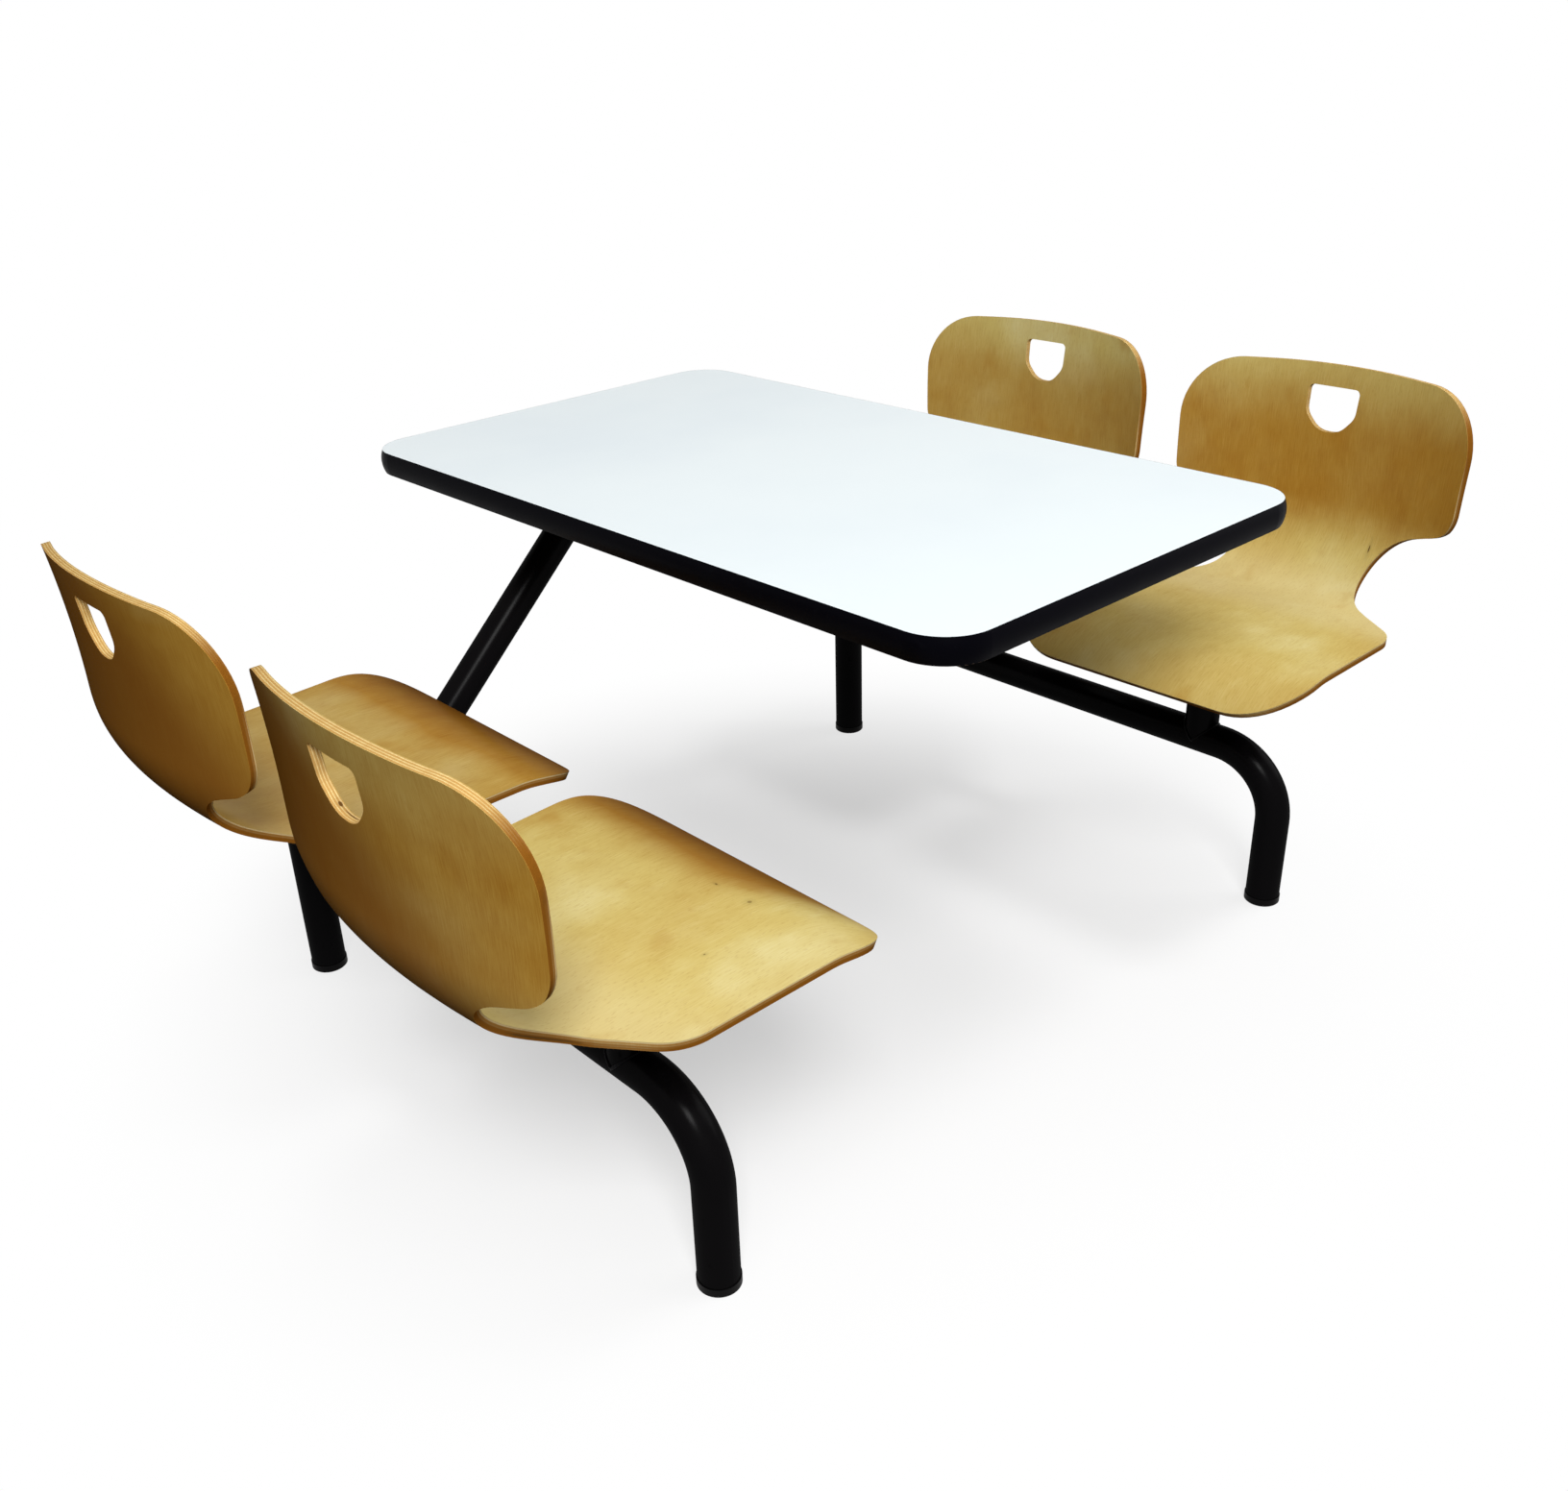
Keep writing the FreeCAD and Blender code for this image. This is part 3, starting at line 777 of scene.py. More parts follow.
@dataclass(frozen=True)
class PowderCoat(Finish):
    """Satin black powder coat with orange peel, dust and rubbed spots."""

    colour: Colour = (0.0030, 0.0026, 0.0030)
    dust: Colour = (0.018, 0.017, 0.017)
    upward: Fade = Fade(0.2, 1.0)
    patches: Noise = Noise(18.0, 3.0)
    dusty: Fade = Fade(0.35, 0.75)
    dust_share: float = 0.30
    scuffs: Noise = Noise(160.0, 3.0, (1, 1, 0.3))
    scuffed: Fade = Fade(0.66, 0.74)
    scuff_share: float = 0.10
    roughness: float = 0.34
    patch_roughness: float = 0.18
    scuff_roughness: float = 0.12
    dust_roughness: float = 0.3
    shine: float = 0.0
    sheen: float = 0.055
    sheen_roughness: float = 0.26
    scuff_sheen_loss: float = 0.5
    peel: Noise = Noise(420.0)
    peel_depth: float = 0.00006
    grains: Noise = Noise(2600.0, 1.0)
    grain_depth: float = 0.000008

    def sockets(self, graph: Graph) -> dict[str, Any]:
        """Peel in the relief, dust on what faces up, handling marks in the gloss.

        Args:
            graph: the node tree.

        Returns:
            The inputs of the surface shader.
        """
        place = graph.object_place()
        _, _, up = graph.parts(graph.add("ShaderNodeNewGeometry", output="Normal"))
        patches = graph.noise(place, self.patches)
        scuffs = graph.noise(place, self.scuffs).fade(self.scuffed)
        dust = up.fade(self.upward) * patches.fade(self.dusty) * self.dust_share
        colour = graph.blend(dust, self.colour, self.dust)
        gloss = self.roughness + patches.swing(self.patch_roughness)
        peel = graph.bump(graph.noise(place, self.peel), self.peel_depth)
        return {
            "Base Color": graph.blend(scuffs * self.scuff_share, colour, self.dust),
            "Roughness": gloss + scuffs * self.scuff_roughness + dust * self.dust_roughness,
            "Specular IOR Level": self.shine,
            "Coat Weight": self.sheen * (1 - dust - scuffs * self.scuff_sheen_loss),
            "Coat Roughness": self.sheen_roughness,
            "Normal": graph.bump(graph.noise(place, self.grains), self.grain_depth, peel),
        }


@dataclass(frozen=True)
class MouldedPlastic(Finish):
    """Moulded or extruded plastic with a fine texture."""

    colour: Colour = (0.011, 0.010, 0.011)
    worn: Colour = (0.05, 0.048, 0.046)
    rubbing: Noise = Noise(90.0, 3.0)
    rubbed: Fade = Fade(0.60, 0.72)
    rubbed_share: float = 0.12
    roughness: float = 0.42
    patches: Noise = Noise(22.0, 3.0)
    patch_roughness: float = 0.2
    rubbed_roughness: float = 0.1
    shine: float = 0.5
    texture: Noise = Noise(900.0)
    depth: float = 0.00003

    def sockets(self, graph: Graph) -> dict[str, Any]:
        """Texture in the relief, dull patches where it has been rubbed.

        Args:
            graph: the node tree.

        Returns:
            The inputs of the surface shader.
        """
        place = graph.object_place()
        rubbed = graph.noise(place, self.rubbing).fade(self.rubbed)
        dull = self.roughness + graph.noise(place, self.patches).swing(self.patch_roughness)
        return {
            "Base Color": graph.blend(rubbed * self.rubbed_share, self.colour, self.worn),
            "Roughness": dull + rubbed * self.rubbed_roughness,
            "Specular IOR Level": self.shine,
            "Normal": graph.bump(graph.noise(place, self.texture), self.depth),
        }


@dataclass(frozen=True)
class BareMetal(Finish):
    """Plated or turned metal with tool marks and a little tarnish."""

    colour: Colour = (0.55, 0.56, 0.58)
    tarnish: Colour = (0.20, 0.18, 0.15)
    clouds: Noise = Noise(120.0, 3.0)
    tarnished: Fade = Fade(0.5, 0.8, 0.5)
    roughness: float = 0.28
    cloud_roughness: float = 0.2
    marks: Noise = Noise(260.0, 2.0, (1.0, 1.0, 14.0))
    mark_roughness: float = 0.08
    mark_depth: float = 0.00001

    def sockets(self, graph: Graph) -> dict[str, Any]:
        """Fine lines round the piece and cloudy tarnish.

        Args:
            graph: the node tree.

        Returns:
            The inputs of the surface shader.
        """
        place = graph.object_place()
        marks = graph.noise(place, self.marks)
        clouds = graph.noise(place, self.clouds)
        dull = self.roughness + clouds.swing(self.cloud_roughness)
        return {
            "Base Color": graph.blend(clouds.fade(self.tarnished), self.colour, self.tarnish),
            "Metallic": 1.0,
            "Roughness": dull + marks * self.mark_roughness,
            "Normal": graph.bump(marks, self.mark_depth),
        }


@dataclass(frozen=True)
class ChipBoard(Finish):
    """Particle board: pressed chips in two tones."""

    dark: Colour = (0.24, 0.13, 0.06)
    light: Colour = (0.50, 0.34, 0.18)
    tones: tuple[float, float] = (0.25, 0.7)
    layers: Triple = (1, 1, 3)
    chip_scale: float = 260.0
    chip_share: float = 0.5
    fibres: Noise = Noise(500.0, 3.0)
    fibre_share: float = 0.6
    roughness: float = 0.75
    fibre_roughness: float = 0.15
    depth: float = 0.0002

    def sockets(self, graph: Graph) -> dict[str, Any]:
        """Flat chips lying in layers.

        Args:
            graph: the node tree.

        Returns:
            The inputs of the surface shader.
        """
        place = graph.scaled(graph.object_place(), self.layers)
        fibres = graph.noise(place, self.fibres)
        chips = graph.spots(place, self.chip_scale)
        tone = chips * self.chip_share + fibres * self.fibre_share
        return {
            "Base Color": graph.ramp(tone, zip(self.tones, (self.dark, self.light))),
            "Roughness": self.roughness + fibres * self.fibre_roughness,
            "Normal": graph.bump(tone, self.depth),
        }


@dataclass(frozen=True)
class BackingSheet(Finish):
    """Plain brown backing laminate under the table."""

    colour: Colour = (0.16, 0.10, 0.06)
    shade: Colour = (0.10, 0.062, 0.04)
    clouds: Noise = Noise(6.0, 3.0)
    sanding: Noise = Noise(900.0, 2.0, (0.06, 1, 1))
    roughness: float = 0.55
    sanded_roughness: float = 0.2
    sanding_depth: float = 0.00003

    def sockets(self, graph: Graph) -> dict[str, Any]:
        """Paper clouds and a sanded grain.

        Args:
            graph: the node tree.

        Returns:
            The inputs of the surface shader.
        """
        place = graph.object_place()
        sanding = graph.noise(place, self.sanding)
        clouds = graph.noise(place, self.clouds)
        return {
            "Base Color": graph.blend(clouds, self.colour, self.shade),
            "Roughness": self.roughness + sanding * self.sanded_roughness,
            "Normal": graph.bump(sanding, self.sanding_depth),
        }


@dataclass(frozen=True)
class WeldMetal(Finish):
    """Weld under the powder coat, rippled."""

    colour: Colour = (0.0032, 0.0028, 0.0032)
    crest: Colour = (0.008, 0.0075, 0.008)
    crest_share: float = 0.3
    ripples: Noise = Noise(520.0, 3.0)
    ripple_relief: float = 0.7
    spatter_scale: float = 240.0
    spatter: Fade = Fade(0.25, 0.05, 0.3)
    roughness: float = 0.36
    ripple_roughness: float = 0.14
    shine: float = 0.03
    depth: float = 0.0003

    def sockets(self, graph: Graph) -> dict[str, Any]:
        """Ripples and spatter under the paint.

        Args:
            graph: the node tree.

        Returns:
            The inputs of the surface shader.
        """
        place = graph.object_place()
        ripples = graph.noise(place, self.ripples)
        spatter = graph.spots(place, self.spatter_scale).fade(self.spatter)
        return {
            "Base Color": graph.blend(ripples * self.crest_share, self.colour, self.crest),
            "Roughness": self.roughness + ripples * self.ripple_roughness,
            "Specular IOR Level": self.shine,
            "Normal": graph.bump(ripples * self.ripple_relief + spatter, self.depth),
        }


class Finishes:
    """Builds each finish once and hands it out."""

    def __init__(self) -> None:
        """Start with nothing built."""
        self._built: dict[str, bpy.types.Material] = {}

    def get(self, finish: Finish) -> bpy.types.Material:
        """Give a finish its material.

        Args:
            finish: the finish.

        Returns:
            Its material.
        """
        if finish.name not in self._built:
            self._built[finish.name] = finish.build()
        return self._built[finish.name]


POWDER_COAT = PowderCoat("powder_coat")
EDGE_VINYL = MouldedPlastic(
    "edge_vinyl",
    colour=(0.0017, 0.0016, 0.0031),
    worn=(0.008, 0.008, 0.010),
    roughness=0.36,
    shine=0.015,
    texture=Noise(300.0),
    depth=0.00002,
)
BLACK_PLASTIC = MouldedPlastic(
    "black_plastic", colour=(0.0032, 0.0028, 0.0030), worn=(0.012, 0.011, 0.011), shine=0.05
)
NYLON = MouldedPlastic("nylon", colour=(0.72, 0.70, 0.62), worn=(0.5, 0.46, 0.38))
RUBBER = MouldedPlastic(
    "rubber", colour=(0.013, 0.013, 0.013), roughness=0.68, texture=Noise(500.0), depth=0.00008
)
ZINC = BareMetal("zinc_plate")
SPRING_STEEL = BareMetal("spring_steel", colour=(0.11, 0.11, 0.12), roughness=0.4)
BRASS = BareMetal("brass", colour=(0.72, 0.50, 0.20), tarnish=(0.28, 0.16, 0.06))
CHIPBOARD = ChipBoard("chipboard")
BACKING = BackingSheet("backing_sheet")
LAMINATE = WhiteLaminate("white_laminate")
WELD = WeldMetal("weld")

NODE_FINISHES: dict[str, Finish] = {
    "bracket": POWDER_COAT,
    "inserts": BRASS,
    "bolts": ZINC,
    "spindle": ZINC,
    "pin": ZINC,
    "circlip": SPRING_STEEL,
    "post": POWDER_COAT,
    "bushes": NYLON,
    "sleeve": RUBBER,
    "beam": POWDER_COAT,
    "leg": POWDER_COAT,
    "brace": POWDER_COAT,
    "foot": BLACK_PLASTIC,
    "caps": BLACK_PLASTIC,
    "core": CHIPBOARD,
    "backer": BACKING,
    "edge": EDGE_VINYL,
    "rails": POWDER_COAT,
    "spine": POWDER_COAT,
    "screws": ZINC,
}

# The near seats carry strong amber and painted shade on their front rolls; age darkens or
# lightens each seat's painted shade.
SEAT_LOOKS: dict[str, SeatLook] = {
    "near_left": SeatLook((1.7, 1.19, 1.7), 1.9, 0.9, age=0.50),
    "near_right": SeatLook(
        (3.4, 2.38, 3.4),
        1.9,
        0.9,
        corner_lift=0.10,
        knots=(
            Knot(-0.042, 0.108, (0.0024, 0.0012, 1.0), 0.8),
            Knot(-0.095, 0.107, (0.0034, 0.0034, 1.0), 0.5),
            Knot(-0.134, 0.204, (0.0012, 0.0020, 1.0), 0.6),
            Knot(0.021, 0.669, (0.0040, 0.0040, 0.0022), 0.9, 0.0020, True),
            Knot(0.002, 0.664, (0.0130, 0.0040, 0.0008), 1.0, 0.0024, True),
            Knot(-0.244, 0.660, (0.0030, 0.0030, 0.0014), 1.0, 0.0010, True),
            Knot(-0.130, 0.401, (0.0400, 0.0460, 0.0016), 1.0, -0.0020, True),
        ),
    ),
    "far_left": SeatLook((5.1, 3.57, 5.1), age=-0.25),
    "far_right": SeatLook(
        (6.8, 4.76, 6.8), knots=(Knot(0.106, 0.497, (0.0014, 0.0084, 1.0), 0.8),)
    ),
}


# --- mesh helpers ----------------------------------------------------------------
def add_object(name: str, data: bpy.types.ID) -> bpy.types.Object:
    """Put an object in the scene.

    Args:
        name: name of the object.
        data: its mesh, lamp or camera.

    Returns:
        The object, at the origin.
    """
    piece = bpy.data.objects.new(name, data)
    bpy.context.scene.collection.objects.link(piece)
    return piece


def close_mesh(
    name: str, bm: bmesh.types.BMesh, material: bpy.types.Material
) -> bpy.types.Object:
    """Turn a bmesh into a smooth-shaded object at the origin.

    Args:
        name: name of the object.
        bm: the mesh, freed here.
        material: its material.

    Returns:
        The new object.
    """
    mesh = bpy.data.meshes.new(name)
    bm.to_mesh(mesh)
    bm.free()
    mesh.materials.append(material)
    mesh.shade_smooth()
    return add_object(name, mesh)


def thicken(bm: bmesh.types.BMesh, bottom: float, thickness: float) -> None:
    """Turn a flat mesh at height 0 into a board.

    Args:
        bm: the mesh.
        bottom: height of the lower face.
        thickness: thickness of the board.
    """
    raised = bmesh.ops.extrude_face_region(bm, geom=bm.faces[:], use_keep_orig=True)
    top = [item for item in raised["geom"] if isinstance(item, bmesh.types.BMVert)]
    bmesh.ops.translate(bm, verts=bm.verts[:], vec=(0, 0, bottom))
    bmesh.ops.translate(bm, verts=top, vec=(0, 0, thickness))
    bmesh.ops.recalc_face_normals(bm, faces=bm.faces)


def ease(
    bm: bmesh.types.BMesh,
    edges: list[bmesh.types.BMEdge],
    width: float,
    segments: int,
    clamped: bool = False,
) -> None:
    """Round off some edges.

    Args:
        bm: the mesh.
        edges: the edges.
        width: how far the rounding reaches over each face.
        segments: number of faces across the rounding.
        clamped: whether the width gives way where edges lie close together.
    """
    bmesh.ops.bevel(
        bm,
        geom=edges,
        offset=width,
        segments=segments,
        profile=0.5,
        affect="EDGES",
        material=-1,
        clamp_overlap=clamped,
    )


def weigh_normals(piece: bpy.types.Object, weight: int = 80) -> None:
    """Let large faces set the shading beside narrow bevels.

    Args:
        piece: the object.
        weight: pull of large faces over small ones, with 50 for none.
    """
    modifier = piece.modifiers.new("weighted_normals", "WEIGHTED_NORMAL")
    modifier.mode = "FACE_AREA"
    modifier.weight = weight
    modifier.keep_sharp = True


def rounded_corner(
    before: Vector, corner: Vector, after: Vector, radius: float, steps: int
) -> list[Vector]:
    """Arc that rounds one corner of an outline.

    Args:
        before: the corner before.
        corner: the corner to round.
        after: the corner after.
        radius: radius of the arc.
        steps: number of edges in the arc.

    Returns:
        The points of the arc.
    """
    back = (before - corner).normalized()
    ahead = (after - corner).normalized()
    half_angle = back.angle(ahead) / 2
    reach = radius / math.tan(half_angle)
    centre = corner + (back + ahead).normalized() * (radius / math.sin(half_angle))
    first = corner + back * reach - centre
    last = corner + ahead * reach - centre
    return [centre + first.slerp(last, index / steps) * radius for index in range(steps + 1)]


def rounded_outline(corners: list[Triple], steps: int) -> list[Vector]:
    """Closed outline with rounded corners.

    Args:
        corners: place along both axes and radius of each corner.
        steps: number of edges in each arc.

    Returns:
        The points of the outline.
    """
    places = [Vector((across, along, 0.0)) for across, along, _ in corners]
    points: list[Vector] = []
    for index, (_, _, radius) in enumerate(corners):
        before = places[index - 1]
        after = places[(index + 1) % len(places)]
        points += rounded_corner(before, places[index], after, radius, steps)
    return points


def right_half(outline: list[Vector], on_line: float = 1e-7) -> list[Vector]:
    """The part of a closed outline right of the middle line.

    Args:
        outline: closed outline that crosses the middle line twice.
        on_line: distance under which a point lies on the middle line.

    Returns:
        The points in order, from one crossing to the other.
    """
    clipped: list[Vector] = []
    start = 0
    for index, point in enumerate(outline):
        before = outline[index - 1]
        if (before.x < 0) != (point.x < 0):
            crossing = before.lerp(point, before.x / (before.x - point.x))
            if point.x >= 0:
                start = len(clipped)
            clipped.append(Vector((0.0, crossing.y, 0.0)))
        if point.x > on_line:
            clipped.append(point)
    return clipped[start:] + clipped[:start]


# --- seats -----------------------------------------------------------------------
@dataclass
class ShellForm:
    """The press form: how the flat blank becomes the seat and back."""

    thickness: float = 0.0105
    pan_height: float = 0.4348
    post_station: float = 0.214
    front_roll_length: float = 0.1255
    front_roll_angle: float = 42.3
    pan_length: float = 0.2335
    pan_slope: float = -1.34
    crease_length: float = 0.1995
    back_start_angle: float = 90.4
    back_length: float = 0.2215
    back_end_angle: float = 80.8
    back_curvature: float = 1.43
    step: float = 0.0005
    table: list[tuple[float, float]] = field(default_factory=list)

    def __post_init__(self) -> None:
        """Add the side profile up in small steps, zero at the post."""
        length = self.front_roll_length + self.pan_length + self.crease_length + self.back_length
        points = [(0.0, 0.0)]
        for index in range(int(length / self.step) + 2):
            angle = math.radians(self.angle((index + HALF) * self.step))
            y, z = points[-1]
            points.append((y + self.step * math.cos(angle), z + self.step * math.sin(angle)))
        y0, z0 = points[round(self.post_station / self.step)]
        self.table = [(y - y0, z - z0) for y, z in points]

    def angle(self, station: float) -> float:
        """Rise of the side profile.

        Args:
            station: distance from the front edge along the blank.

        Returns:
            The angle in degrees.
        """
        spans = (
            (self.front_roll_length, self.front_roll_angle, self.pan_slope),
            (self.pan_length, self.pan_slope, self.pan_slope),
            (self.crease_length, self.pan_slope, self.back_start_angle),
            (self.back_length, self.back_start_angle, self.back_end_angle),
        )
        for length, start, end in spans:
            if station <= length:
                return start + (end - start) * station / length
            station -= length
        return self.back_end_angle

    def curvature(self, station: float) -> float:
        """Sideways curvature: none in the pan, full in the back.

        Args:
            station: distance from the front edge along the blank.

        Returns:
            The curvature per metre.
        """
        part = (station - self.front_roll_length - self.pan_length) / self.crease_length
        part = min(max(part, 0.0), 1.0)
        return self.back_curvature * part * part * (3 - 2 * part)

    def side(self, station: float) -> tuple[float, float]:
        """Point of the side profile.

        Args:
            station: distance from the front edge along the blank.

        Returns:
            How far the point is behind the post and above the pan.
        """
        place = max(station, 0.0) / self.step
        index = min(int(place), len(self.table) - 2)
        part = place - index
        y0, z0 = self.table[index]
        y1, z1 = self.table[index + 1]
        return y0 + (y1 - y0) * part, z0 + (z1 - z0) * part

    def press(self, place: Vector) -> Vector:
        """Where a point of the flat blank lies in the moulded seat.

        Args:
            place: distance across, station and height above the middle ply.

        Returns:
            The point in the frame of the seat, with its post at the origin.
        """
        across, station, offset = place
        y, z = self.side(station)
        angle = math.radians(self.angle(station))
        curvature = self.curvature(station)
        turn = curvature * across
        reach = math.sin(turn) / curvature if curvature > 0 else across
        lift = (1 - math.cos(turn)) / curvature if curvature > 0 else 0.0
        reach -= offset * math.sin(turn)
        lift += offset * math.cos(turn)
        return Vector(
            (reach, y - lift * math.sin(angle), self.pan_height + z + lift * math.cos(angle))
        )


@dataclass
class SeatShell:
    """One moulded plywood seat and back, cut from half outlines of corners and radii."""

    name: str
    centre: Vector
    turn: float
    form: ShellForm
    look: SeatLook
    corners: tuple[Triple, ...] = (
        (0.2395, 0.0, 0.095),
        (0.230, 0.312, 0.063),
        (0.1125, 0.4025, 0.088),
        (0.1125, 0.511, 0.088),
        (0.237, 0.551, 0.0525),
        (0.244, 0.750, 0.0945),
    )
    crown: Triple = (0.0, 0.768, 1.6)
    handle: tuple[Triple, ...] = (
        (0.042, 0.731, 0.008),
        (0.041, 0.689, 0.026),
        (0.018, 0.663, 0.034),
    )
    pitch: float = 0.0068
    first_cut: float = 0.63
    arc_steps: int = 14
    edge_round: float = 0.0016
    edge_segments: int = 3
    rim_angle: float = 60.0

    def build(self, finishes: Finishes) -> bpy.types.Object:
        """Cut, thicken, ease and press the shell.

        Args:
            finishes: the finishes.

        Returns:
            The shell, riding on its seat.
        """
        bm = self._cut_blank()
        thicken(bm, -self.form.thickness / 2, self.form.thickness)
        ease(bm, self._rims(bm), self.edge_round, self.edge_segments, clamped=True)
        self._press(bm)
        ply = MouldedPly(self.name + "_ply", self.form.thickness, self.look)
        shell = close_mesh(self.name + "_moulded_shell", bm, finishes.get(ply))
        weigh_normals(shell)
        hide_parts(self.name + "_shell")
        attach(shell, self.name + "_seat")
        return shell

    @staticmethod
    def _both_sides(corners: tuple[Triple, ...], middle: tuple[Triple, ...] = ()) -> list[Triple]:
        """Mirror the corners of a half outline.

        Args:
            corners: the corners of the right half.
            middle: corners on the middle line that come after them.

        Returns:
            The corners of the whole outline.
        """
        left = [(-across, station, radius) for across, station, radius in corners]
        return [*corners, *middle, *left[::-1]]

    def _cut_blank(self) -> bmesh.types.BMesh:
        """Cut the flat face with its handle, in a fine grid.

        Returns:
            The mesh, at height 0.
        """
        outline = rounded_outline(self._both_sides(self.corners, (self.crown,)), self.arc_steps)
        handle = rounded_outline(self._both_sides(self.handle), self.arc_steps // 2)
        rim = right_half(outline) + right_half(handle)
        bm = bmesh.new()
        bm.faces.new([bm.verts.new(point) for point in rim])
        width = max(corner[0] for corner in self.corners)
        self._slice(bm, Vector((1, 0, 0)), width)
        self._slice(bm, Vector((0, 1, 0)), self.crown[1])
        everything = bm.verts[:] + bm.edges[:] + bm.faces[:]
        bmesh.ops.mirror(bm, geom=everything, merge_dist=MERGE_DISTANCE, axis="X")
        bmesh.ops.remove_doubles(bm, verts=bm.verts, dist=MERGE_DISTANCE)
        bmesh.ops.recalc_face_normals(bm, faces=bm.faces)
        return bm

    def _slice(self, bm: bmesh.types.BMesh, across: Vector, length: float) -> None:
        """Cut a flat mesh by evenly spaced lines.

        Args:
            bm: the mesh.
            across: direction square to the lines.
            length: distance to cover.
        """
        for index in range(int(length / self.pitch) + 1):
            bmesh.ops.bisect_plane(
                bm,
                geom=bm.verts[:] + bm.edges[:] + bm.faces[:],
                plane_co=across * (self.pitch * (index + self.first_cut)),
                plane_no=across,
                dist=MERGE_DISTANCE,
            )

    def _rims(self, bm: bmesh.types.BMesh) -> list[bmesh.types.BMEdge]:
        """Find the rims of the outline and the handle.

        Args:
            bm: the thick blank.

        Returns:
            Their edges on both faces.
        """
        sharp = math.radians(self.rim_angle)
        edges = (edge for edge in bm.edges if len(edge.link_faces) == 2)
        return [edge for edge in edges if edge.calc_face_angle() > sharp]

    def _press(self, bm: bmesh.types.BMesh) -> None:
        """Keep each point's place on the blank, then press it into the form.

        Args:
            bm: the thick blank.
        """
        blank = bm.verts.layers.float_vector.new(BLANK_LAYER)
        stand = Matrix.Translation(self.centre) @ Matrix.Rotation(self.turn, 4, "Z")
        for vertex in bm.verts:
            vertex[blank] = vertex.co
            vertex.co = stand @ self.form.press(vertex.co)


# --- table -----------------------------------------------------------------------
@dataclass
class TableSkin:
    """The laminate sheet with its filed rim."""

    corner_radius: float = 0.060
    arc_steps: int = 16
    file_depth: float = 0.00035
    file_segments: int = 2

    def build(self, finishes: Finishes) -> bpy.types.Object:
        """Make the sheet in the place of its node.

        Args:
            finishes: the finishes.

        Returns:
            The laminate.
        """
        low, high = (Vector(corner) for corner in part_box("table_laminate"))
        corners = [
            (x, y, self.corner_radius)
            for x, y in ((high.x, low.y), (high.x, high.y), (low.x, high.y), (low.x, low.y))
        ]
        bm = bmesh.new()
        bm.faces.new([bm.verts.new(point) for point in rounded_outline(corners, self.arc_steps)])
        thicken(bm, low.z, high.z - low.z)
        top = high.z - MERGE_DISTANCE
        rim = [edge for edge in bm.edges if all(vertex.co.z > top for vertex in edge.verts)]
        ease(bm, rim, self.file_depth, self.file_segments)
        sheet = close_mesh("laminate_sheet", bm, finishes.get(LAMINATE))
        weigh_normals(sheet)
        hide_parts("table_laminate")
        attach(sheet, FRAME_BODY)
        return sheet


# --- welds -----------------------------------------------------------------------
class Joint(Enum):
    """Kinds of welded joint between tubes."""

    STANDING = "standing"
    HANGING = "hanging"
    CROSSING = "crossing"


@dataclass
class WeldBead:
    """A rippled fillet along the line where two tubes meet."""

    name: str
    joint: Joint
    place: Vector
    beam_radius: float = 0.0254
    tube_radius: float = 0.0254
    overlap: float = 0.006
    size: float = 0.0020
    roundness: int = 2
    steps: int = 96
    ripples: int = 40
    ripple_share: float = 0.12

    def line(self, turn: float) -> Vector:
        """Point of the joint line.

        Args:
            turn: angle round the tube, in radians.

        Returns:
            The point.
        """
        if self.joint is Joint.CROSSING:
            return self._crossing(turn)
        sign = 1.0 if self.joint is Joint.STANDING else -1.0
        x = self.tube_radius * math.cos(turn)
        y = self.tube_radius * math.sin(turn)
        rise = math.sqrt(max(self.beam_radius**2 - y * y, 0.0))
        return self.place + Vector((x, y, sign * rise))

    def _crossing(self, turn: float) -> Vector:
        """Point of the line between a tube and one that lies across it.

        Args:
            turn: angle round the joint, in radians.

        Returns:
            The point.
        """
        gap = self.beam_radius + self.tube_radius - self.overlap
        widest = math.sqrt(self.tube_radius**2 - (gap - self.beam_radius) ** 2)
        x = widest * math.cos(turn)
        drop = gap - math.sqrt(self.tube_radius**2 - x * x)
        side = math.sqrt(max(self.beam_radius**2 - drop * drop, 0.0))
        return self.place + Vector((x, math.copysign(side, math.sin(turn)), drop))

    def build(self, finishes: Finishes) -> bpy.types.Object:
        """Lay the bead.

        Args:
            finishes: the finishes.

        Returns:
            The bead.
        """
        curve = bpy.data.curves.new(self.name, "CURVE")
        curve.dimensions = "3D"
        curve.bevel_depth = self.size
        curve.bevel_resolution = self.roundness
        spline = curve.splines.new("POLY")
        spline.points.add(self.steps - 1)
        for index, point in enumerate(spline.points):
            turn = 2 * math.pi * index / self.steps
            point.co = (*self.line(turn), 1.0)
            point.radius = 1.0 + self.ripple_share * math.sin(turn * self.ripples)
        spline.use_cyclic_u = True
        holder = bpy.data.objects.new(self.name + "_line", curve)
        mesh = bpy.data.meshes.new_from_object(holder)
        bpy.data.objects.remove(holder)
        mesh.materials.clear()
        mesh.materials.append(finishes.get(WELD))
        mesh.shade_smooth()
        bead = add_object(self.name, mesh)
        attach(bead, FRAME_BODY)
        return bead


# --- studio ----------------------------------------------------------------------
@dataclass(frozen=True)
class Lamp:
    """A soft square lamp."""

    name: str
    place: Triple
    target: Triple
    width: float
    watts: float

    def build(self) -> None:
        """Hang the lamp and point it at its target."""
        data = bpy.data.lights.new(self.name, "AREA")
        data.shape = "SQUARE"
        data.size = self.width
        data.energy = self.watts
        aim = (Vector(self.place) - Vector(self.target)).to_track_quat("Z", "Y")
        lamp = add_object(self.name, data)
        lamp.matrix_world = Matrix.Translation(self.place) @ aim.to_matrix().to_4x4()


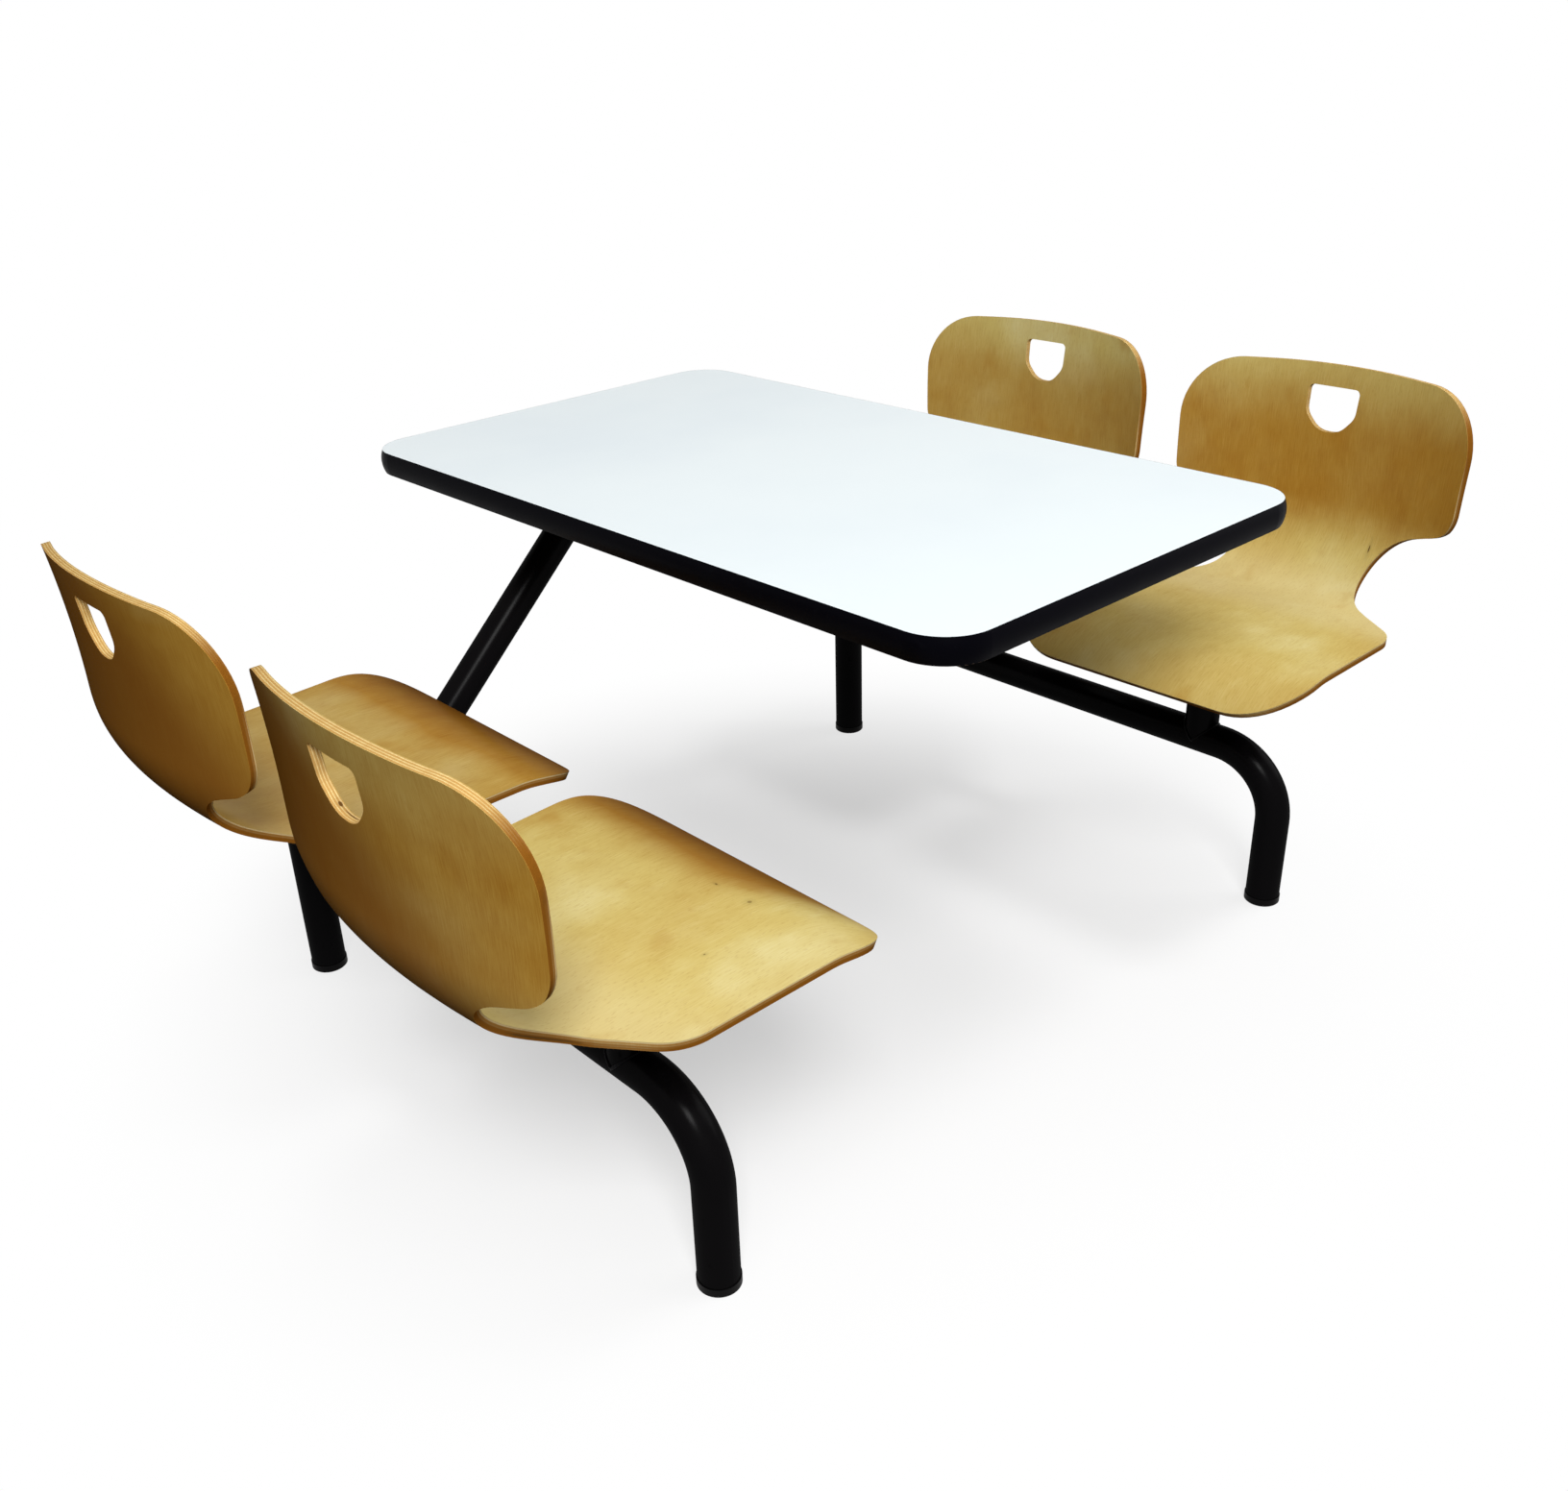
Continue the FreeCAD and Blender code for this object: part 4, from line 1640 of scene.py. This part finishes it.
@dataclass
class Studio:
    """Camera, floor, lamps and surroundings. Angles are in radians."""

    image_width: int = 1632
    image_height: int = 1552
    focal_pixels: float = 1585.34
    centre_x: float = 777.32
    centre_y: float = 809.85
    yaw: float = -0.852414
    pitch: float = -0.480412
    roll: float = 0.043709
    place: Triple = (1.43985, -1.36519, 1.30722)
    sensor: float = 36.0
    floor_size: float = 60.0
    floor_colour: Colour = (0.95, 0.95, 0.95)
    bounce_colour: Colour = (0.10, 0.095, 0.09)
    shadow_lift: float = 0.51
    fade_out: Fade = Fade(0.35, 1.10)
    world_strength: float = 0.06
    white: tuple[float, float, float, float] = (1, 1, 1, 1)
    lamps: tuple[Lamp, ...] = (
        Lamp("overhead", (2.3, 1.7, 7.2), (0, 0, 0.4), 1.8, 150.0),
        Lamp("side", (3.3, -2.6, 4.2), (0, 0, 0.5), 1.6, 256.0),
        Lamp("rear", (2.2, 4.2, 2.4), (0, 0, 0.5), 3.0, 75.0),
    )

    def build(self) -> None:
        """Set everything round the object."""
        self._camera()
        self._floor()
        self._world()
        for lamp in self.lamps:
            lamp.build()

    def _camera(self) -> None:
        """Camera at the viewing angle of the unit."""
        data = bpy.data.cameras.new("camera")
        data.sensor_fit = "HORIZONTAL"
        data.sensor_width = self.sensor
        data.lens = self.focal_pixels / self.image_width * self.sensor
        data.shift_x = (self.image_width / 2 - self.centre_x) / self.image_width
        data.shift_y = (self.centre_y - self.image_height / 2) / self.image_width
        ahead = Vector(
            (
                math.cos(self.pitch) * math.sin(self.yaw),
                math.cos(self.pitch) * math.cos(self.yaw),
                math.sin(self.pitch),
            )
        )
        level = ahead.cross(Vector((0, 0, 1))).normalized()
        down = ahead.cross(level)
        right = level * math.cos(self.roll) + down * math.sin(self.roll)
        down = down * math.cos(self.roll) - level * math.sin(self.roll)
        axes = Matrix((right, -down, -ahead)).transposed()
        camera = add_object("camera", data)
        camera.matrix_world = Matrix.Translation(self.place) @ axes.to_4x4()
        bpy.context.scene.camera = camera

    @staticmethod
    def _seen(graph: Graph) -> Value:
        """Tell the rays that show a surface: straight, mirrored or through glass.

        Args:
            graph: the node tree.

        Returns:
            1 for such rays, 0 for those that only carry light.
        """
        straight = graph.add("ShaderNodeLightPath", output="Is Camera Ray")
        mirrored = graph.add("ShaderNodeLightPath", output="Is Glossy Ray")
        through = graph.add("ShaderNodeLightPath", output="Is Transmission Ray")
        return straight.at_least(mirrored).at_least(through)

    def _floor(self) -> None:
        """Pale floor that keeps the shadow and turns to plain white further out."""
        bm = bmesh.new()
        bmesh.ops.create_grid(bm, x_segments=2, y_segments=2, size=self.floor_size / 2)
        material = bpy.data.materials.new("floor")
        graph = Graph(material)
        seen = self._seen(graph)
        colour = graph.blend(seen, self.bounce_colour, self.floor_colour)
        painted = graph.add("ShaderNodeBsdfDiffuse", None, {"Color": colour})
        white = graph.add("ShaderNodeEmission", None, {"Strength": 1.0, "Color": self.white})
        far = graph.length(graph.object_place()).fade(self.fade_out)
        amount = (self.shadow_lift + far * (1.0 - self.shadow_lift)) * seen
        graph.finish(graph.add("ShaderNodeMixShader", None, {0: amount, 1: painted, 2: white}))
        floor = close_mesh("floor", bm, material)

    def _world(self) -> None:
        """Even light from all round, white where it is seen or mirrored."""
        world = bpy.data.worlds.new("studio")
        graph = Graph(world)
        strength = self.world_strength + self._seen(graph) * (1.0 - self.world_strength)
        inputs = {"Color": self.white, "Strength": strength}
        background = graph.add("ShaderNodeBackground", None, inputs)
        graph.finish(background, "ShaderNodeOutputWorld")
        bpy.context.scene.world = world


# --- the whole unit --------------------------------------------------------------
@dataclass
class TableUnit:
    """The whole unit: seats, table skin, welds and dressed nodes."""

    finishes: Finishes
    form: ShellForm = field(default_factory=ShellForm)
    seat_places: dict[str, Vector] = field(default_factory=dict)

    def __post_init__(self) -> None:
        """Read where each seat turns from the joints of the frame."""
        for joint in frame["record"]["behaviour"]["joints"]:
            name = joint["name"].removesuffix("_swivel")
            self.seat_places[name] = Vector(joint["pos_m"])

    def build_seats(self) -> None:
        """Mould the four shells, each facing the table."""
        for name, look in SEAT_LOOKS.items():
            place = self.seat_places[name]
            centre = Vector((place.x, place.y, 0.0))
            turn = 0.0 if place.y > 0 else math.pi
            shell = SeatShell(name, centre, turn, self.form, look).build(self.finishes)
            LOG.info("%s: %d faces", shell.name, len(shell.data.polygons))

    def build_table(self) -> None:
        """Lay the laminate."""
        sheet = TableSkin().build(self.finishes)
        LOG.info("%s: %d faces", sheet.name, len(sheet.data.polygons))

    def build_welds(self) -> None:
        """Weld posts, legs and braces to the beams."""
        beads = []
        for side in ("near", "far"):
            low, high = (Vector(corner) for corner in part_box(side + "_beam"))
            beam_y = (low.y + high.y) / 2
            radius = (high.y - low.y) / 2
            beam_z = high.z - radius
            for name in ("left", "right"):
                place = self.seat_places[side + "_" + name]
                spot = Vector((place.x, beam_y, beam_z))
                beads.append(WeldBead(f"{side}_{name}_post_weld", Joint.STANDING, spot))
            for node, joint, kind in (
                ("_left_leg", Joint.HANGING, "_leg_weld"),
                ("_brace", Joint.CROSSING, "_brace_weld"),
            ):
                low, high = (Vector(corner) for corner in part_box(side + node))
                spot = Vector(((low.x + high.x) / 2, beam_y, beam_z))
                tube = (high.x - low.x) / 2
                beads.append(WeldBead(side + kind, joint, spot, tube_radius=tube))
        for bead in beads:
            LOG.info("%s: %d faces", bead.name, len(bead.build(self.finishes).data.polygons))

    def dress_nodes(self) -> None:
        """Give each node of the frame its finish."""
        dressed = 0
        for name, node in frame["nodes"].items():
            finish = NODE_FINISHES.get(name.rsplit("_", 1)[-1])
            if finish is None:
                continue
            for slot in node.material_slots:
                slot.material = self.finishes.get(finish)
            dressed += 1
        LOG.info("dressed %d nodes of the frame", dressed)


def main() -> None:
    """Build the looks."""
    logging.basicConfig(level=logging.INFO, format="%(name)s %(message)s")
    unit = TableUnit(Finishes())
    unit.build_seats()
    unit.build_table()
    unit.build_welds()
    unit.dress_nodes()
    Studio().build()
    bpy.context.scene.view_settings.view_transform = "Standard"


if __name__ == "__main__":
    main()
